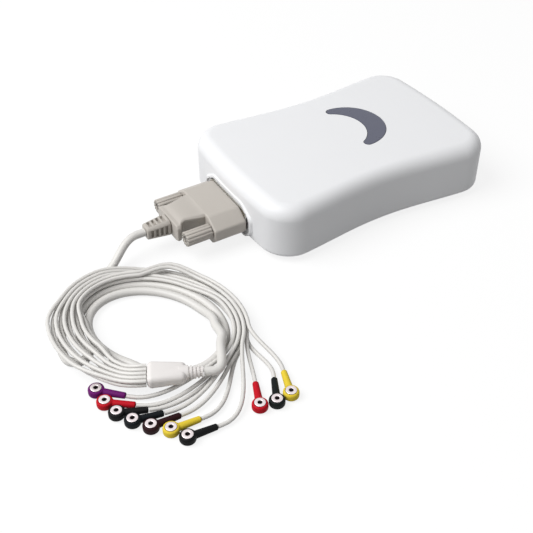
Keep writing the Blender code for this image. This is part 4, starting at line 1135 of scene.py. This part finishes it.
def lead_keys(column, row, leave_degrees):
    """The stations of one lead, from just past the splitter to the angle where it leaves the ring."""
    height = low_row if row == "low" else high_row
    shift = column * lead_pitch
    last = leave_degrees - 360
    spread = spread_lane + spread_pitch * (column if row == "low" else column + 1 / 2)
    keys = [(-84, exit_lane + shift, height), (-110, spread, height), (-144, spread, height)]
    keys.append((-172, settled_lane + shift, height))
    if column >= 2:
        lane = outer_first_lane + (column - 2) * lead_pitch
        lower = table_row if row == "low" else middle_row
        return keys + [(-202, lane, height), (-246, lane, lower), (last, lane, lower)]
    if row == "low":
        lane = fanned_lane + shift
        return keys + [(-272, settled_lane + shift, low_row), (-304, lane, low_row), (last, lane, low_row)]
    lane = fanned_lane + shift + 2 * lead_pitch
    return keys + [
        (-232, settled_lane + shift, height),
        (-256, lane, height),
        (-276, lane, low_row),
        (last, lane, low_row),
    ]


def lead_points(offset, degrees, column, row, leave_degrees):
    """One lead, from the splitter's face to its connector's stem."""
    face = yoke_middle + yoke_way * (yoke_length / 2 + seat_gap)
    face += yoke_across * (column - 2) * lead_pitch
    face.z = yoke_middle.z + (lead_pitch / 2 if row == "high" else -lead_pitch / 2)
    wound = lane_points(lead_keys(column, row, leave_degrees))
    first_way = (wound[1] - wound[0]).normalized()
    points = [face, face + yoke_way * lead_diameter]
    points += bridge_points(points[-1], yoke_way, wound[0], first_way, 6)[1:]
    points += wound[1:]
    stem = Vector((math.cos(math.radians(degrees)), math.sin(math.radians(degrees)), 0.0))
    tail = Vector((coil_x + offset[0], coil_y + offset[1], 0.0)) + stem * (boot_reach + seat_gap)
    tail.z = stem_z
    last_way = (points[-1] - points[-2]).normalized()
    points += bridge_points(points[-1], last_way, tail + stem * lead_diameter, -stem, 16)[1:]
    points.append(tail)
    return points


# Snap connectors.
# A soft vinyl boot with a flat round head and a tapered tail, moulded over each lead's end. A nickel-plated snap
# socket sits in the head, open on top, and presses onto an electrode's stud.
head_radius = 0.0038
head_height = 0.0040
head_edge = 0.0011
stem_root_radius = 0.0019
stem_tip_radius = 0.0015
ring_radius = 0.0026
ring_bore_radius = 0.0011
ring_height = 0.0030
ring_bore_depth = 0.0022
ring_proud = 0.0003


def boot_form():
    """The boot about the middle of its head, its tail along +X, blended into one skin."""
    high = table_gap + head_height
    head = spun(
        [(0, table_gap)]
        + arc((head_radius - head_edge, table_gap + head_edge), head_edge, -90, 0, 6)
        + arc((head_radius - head_edge, high - head_edge), head_edge, 0, 90, 6)
        + [(0, high)],
        Matrix.Identity(4),
        48,
    )
    tail = spun(
        [(0, head_radius / 2), (stem_root_radius, head_radius / 2), (stem_tip_radius, boot_reach - 0.0004)]
        + [(stem_tip_radius - 0.0004, boot_reach), (0, boot_reach)],
        Matrix.Translation((0, 0, stem_z + table_gap / 2)) @ Matrix.Rotation(math.pi / 2, 4, "Y"),
        32,
    )
    return joined_forms(head, tail)


boot_shape = to_object("boot_shape", boot_form(), hood_vinyl)
skin = boot_shape.modifiers.new("skin", "REMESH")
skin.mode = "VOXEL"
skin.voxel_size = 0.00022
soften = boot_shape.modifiers.new("soften", "SMOOTH")
soften.factor = 0.5
soften.iterations = 5
settled(boot_shape, 180)
ring_top = table_gap + head_height + ring_proud
ring_low = ring_top - ring_height
ring_seat = [(0, ring_low), (ring_radius + 0.0002, ring_low), (ring_radius + 0.0002, ring_top + ring_proud)]
cut(boot_shape, spun(ring_seat + [(0, ring_top + ring_proud)], Matrix.Identity(4), 48))
lip_radius = 0.00022


def ring_metal_painted_bore_shade():
    """Nickel plate that has gone dull, with painted shade down in the bore: its colour darkens below the ring's top."""
    made = grained(drawn_metal, "snap_ring_nickel_painted_bore_shade", (0.720, 0.655, 0.665), 0.45, 1400.0, 0.000003, 0.08, 1.0)
    tree = made.node_tree
    shader = tree.nodes["Principled BSDF"]
    place = tree.nodes.new("ShaderNodeTexCoord").outputs["Object"]
    split = tree.nodes.new("ShaderNodeSeparateXYZ")
    link(tree, place, split.inputs["Vector"])
    # Painted shade: a ramp on height that darkens the colour down in the bore, where shade falls.
    depth = tree.nodes.new("ShaderNodeMapRange")
    depth.inputs["From Min"].default_value = ring_top - 0.0008
    depth.inputs["From Max"].default_value = ring_top - 0.0003
    depth.inputs["To Min"].default_value = 0.05
    link(tree, split.outputs["Z"], depth.inputs["Value"])
    bore_painted_shade = tree.nodes.new("ShaderNodeMix")
    bore_painted_shade.data_type = "RGBA"
    # The dark grey of the painted shade in the bore.
    bore_painted_shade.inputs["A"].default_value = (0.110, 0.090, 0.095, 1.0)
    link(tree, depth.outputs["Result"], bore_painted_shade.inputs["Factor"])
    link(tree, shader.inputs["Base Color"].links[0].from_socket, bore_painted_shade.inputs["B"])
    link(tree, bore_painted_shade.outputs["Result"], shader.inputs["Base Color"])
    return made


ring_nickel_painted_bore_shade = ring_metal_painted_bore_shade()
for name, offset, degrees, column, row, leave_degrees, length, colour in leads:
    lead = cord_curve("cord_" + name, lead_points(offset, degrees, column, row, leave_degrees), lead_diameter, cord_vinyl)
    fitted(lead, "patient_cable", "warm_grey_cord", "lead_" + name)
    place = Matrix.Translation((coil_x + offset[0], coil_y + offset[1], 0.0))
    place = place @ Matrix.Rotation(math.radians(degrees), 4, "Z")
    boot_vinyl = grained(moulded_grain, "boot_vinyl_" + name, colour, 0.55, 1600.0, 0.000012, 0.10)
    boot_vinyl.node_tree.nodes["Principled BSDF"].inputs["Specular IOR Level"].default_value = 0.12
    boot = boot_shape.copy()
    boot.data = boot_shape.data.copy()
    boot.name = "boot_" + name
    boot.data.transform(place)
    boot.data.materials.clear()
    boot.data.materials.append(boot_vinyl)
    bpy.context.scene.collection.objects.link(boot)
    fitted(boot, "patient_cable", "boot_" + name, "snap_boot_" + name)
    socket = to_object(
        "snap_ring_" + name,
        spun(
            [(0, ring_low), (ring_radius, ring_low)]
            + arc((ring_radius - lip_radius, ring_top - lip_radius), lip_radius, 0, 90, 5)
            + arc((ring_bore_radius + lip_radius, ring_top - lip_radius), lip_radius, 90, 180, 5)
            + [(ring_bore_radius, ring_top - ring_bore_depth), (0, ring_top - ring_bore_depth)],
            place,
            48,
        ),
        ring_nickel_painted_bore_shade,
    )
    fitted(socket, "patient_cable", "nickel_plated_shell", "snap_socket_" + name)
bpy.data.objects.remove(boot_shape)

# Table.
# A plain white top under the recorder. It is not part of the object, and the camera sees it as white paper with
# the recorder's soft shadow on it.
table_white = bpy.data.materials.new("table_white")
table_white.use_nodes = True
tree = table_white.node_tree
shader = tree.nodes["Principled BSDF"]
shader.inputs["Roughness"].default_value = 1.0
shader.inputs["Specular IOR Level"].default_value = 0.0
paper = tree.nodes.new("ShaderNodeEmission")
paper_rays = tree.nodes.new("ShaderNodeLightPath")
seen = sum_node(
    tree, "MAXIMUM", sum_node(tree, "MAXIMUM", paper_rays.outputs["Is Camera Ray"], paper_rays.outputs["Is Glossy Ray"]),
    paper_rays.outputs["Is Transmission Ray"],
)
share = sum_node(tree, "MULTIPLY", seen, 0.84)
link(tree, sum_node(tree, "MULTIPLY_ADD", seen, 0.60, 0.40), shader.inputs["Base Color"])
blend = tree.nodes.new("ShaderNodeMixShader")
link(tree, share, blend.inputs["Fac"])
link(tree, shader.outputs["BSDF"], blend.inputs[1])
link(tree, paper.outputs["Emission"], blend.inputs[2])
link(tree, blend.outputs["Shader"], tree.nodes["Material Output"].inputs["Surface"])
table_form = bmesh.new()
bmesh.ops.create_grid(table_form, x_segments=1, y_segments=1, size=6.0)
table = to_object("table", table_form, table_white)

# Light: a pale room and one broad lamp from the plug's side, high up.
scene = bpy.context.scene
scene.view_settings.view_transform = "Standard"
world = bpy.data.worlds.new("room")
scene.world = world
world.use_nodes = True
tree = world.node_tree
room = tree.nodes["Background"]
room.inputs["Color"].default_value = (1.0, 1.0, 1.0, 1.0)
room_rays = tree.nodes.new("ShaderNodeLightPath")
seen = sum_node(
    tree, "MAXIMUM", sum_node(tree, "MAXIMUM", room_rays.outputs["Is Camera Ray"], room_rays.outputs["Is Glossy Ray"]),
    room_rays.outputs["Is Transmission Ray"],
)
link(tree, sum_node(tree, "MULTIPLY_ADD", seen, 0.66, 0.34), room.inputs["Strength"])


def area_lamp(name, place, aim, size, power):
    data = bpy.data.lights.new(name, "AREA")
    data.shape = "DISK"
    data.size = size
    data.energy = power
    lamp = bpy.data.objects.new(name, data)
    lamp.location = place
    lamp.rotation_euler = (Vector(aim) - Vector(place)).to_track_quat("-Z", "Y").to_euler()
    scene.collection.objects.link(lamp)
    return lamp


area_lamp("key_lamp", (-1.10, 0.26, 1.40), (-0.02, -0.02, 0.01), 1.40, 32.0)

# Camera at the photograph's place: left of the cable, low over the table.
camera_data = bpy.data.cameras.new("photo_view")
camera_data.lens = 63.33
camera_data.sensor_width = 36.0
camera = bpy.data.objects.new("photo_view", camera_data)
camera.location = (-0.26952, -0.36644, 0.31822)
camera.rotation_euler = (math.radians(90 - 40.16), 0.0, math.radians(-31.12))
scene.collection.objects.link(camera)
scene.camera = camera
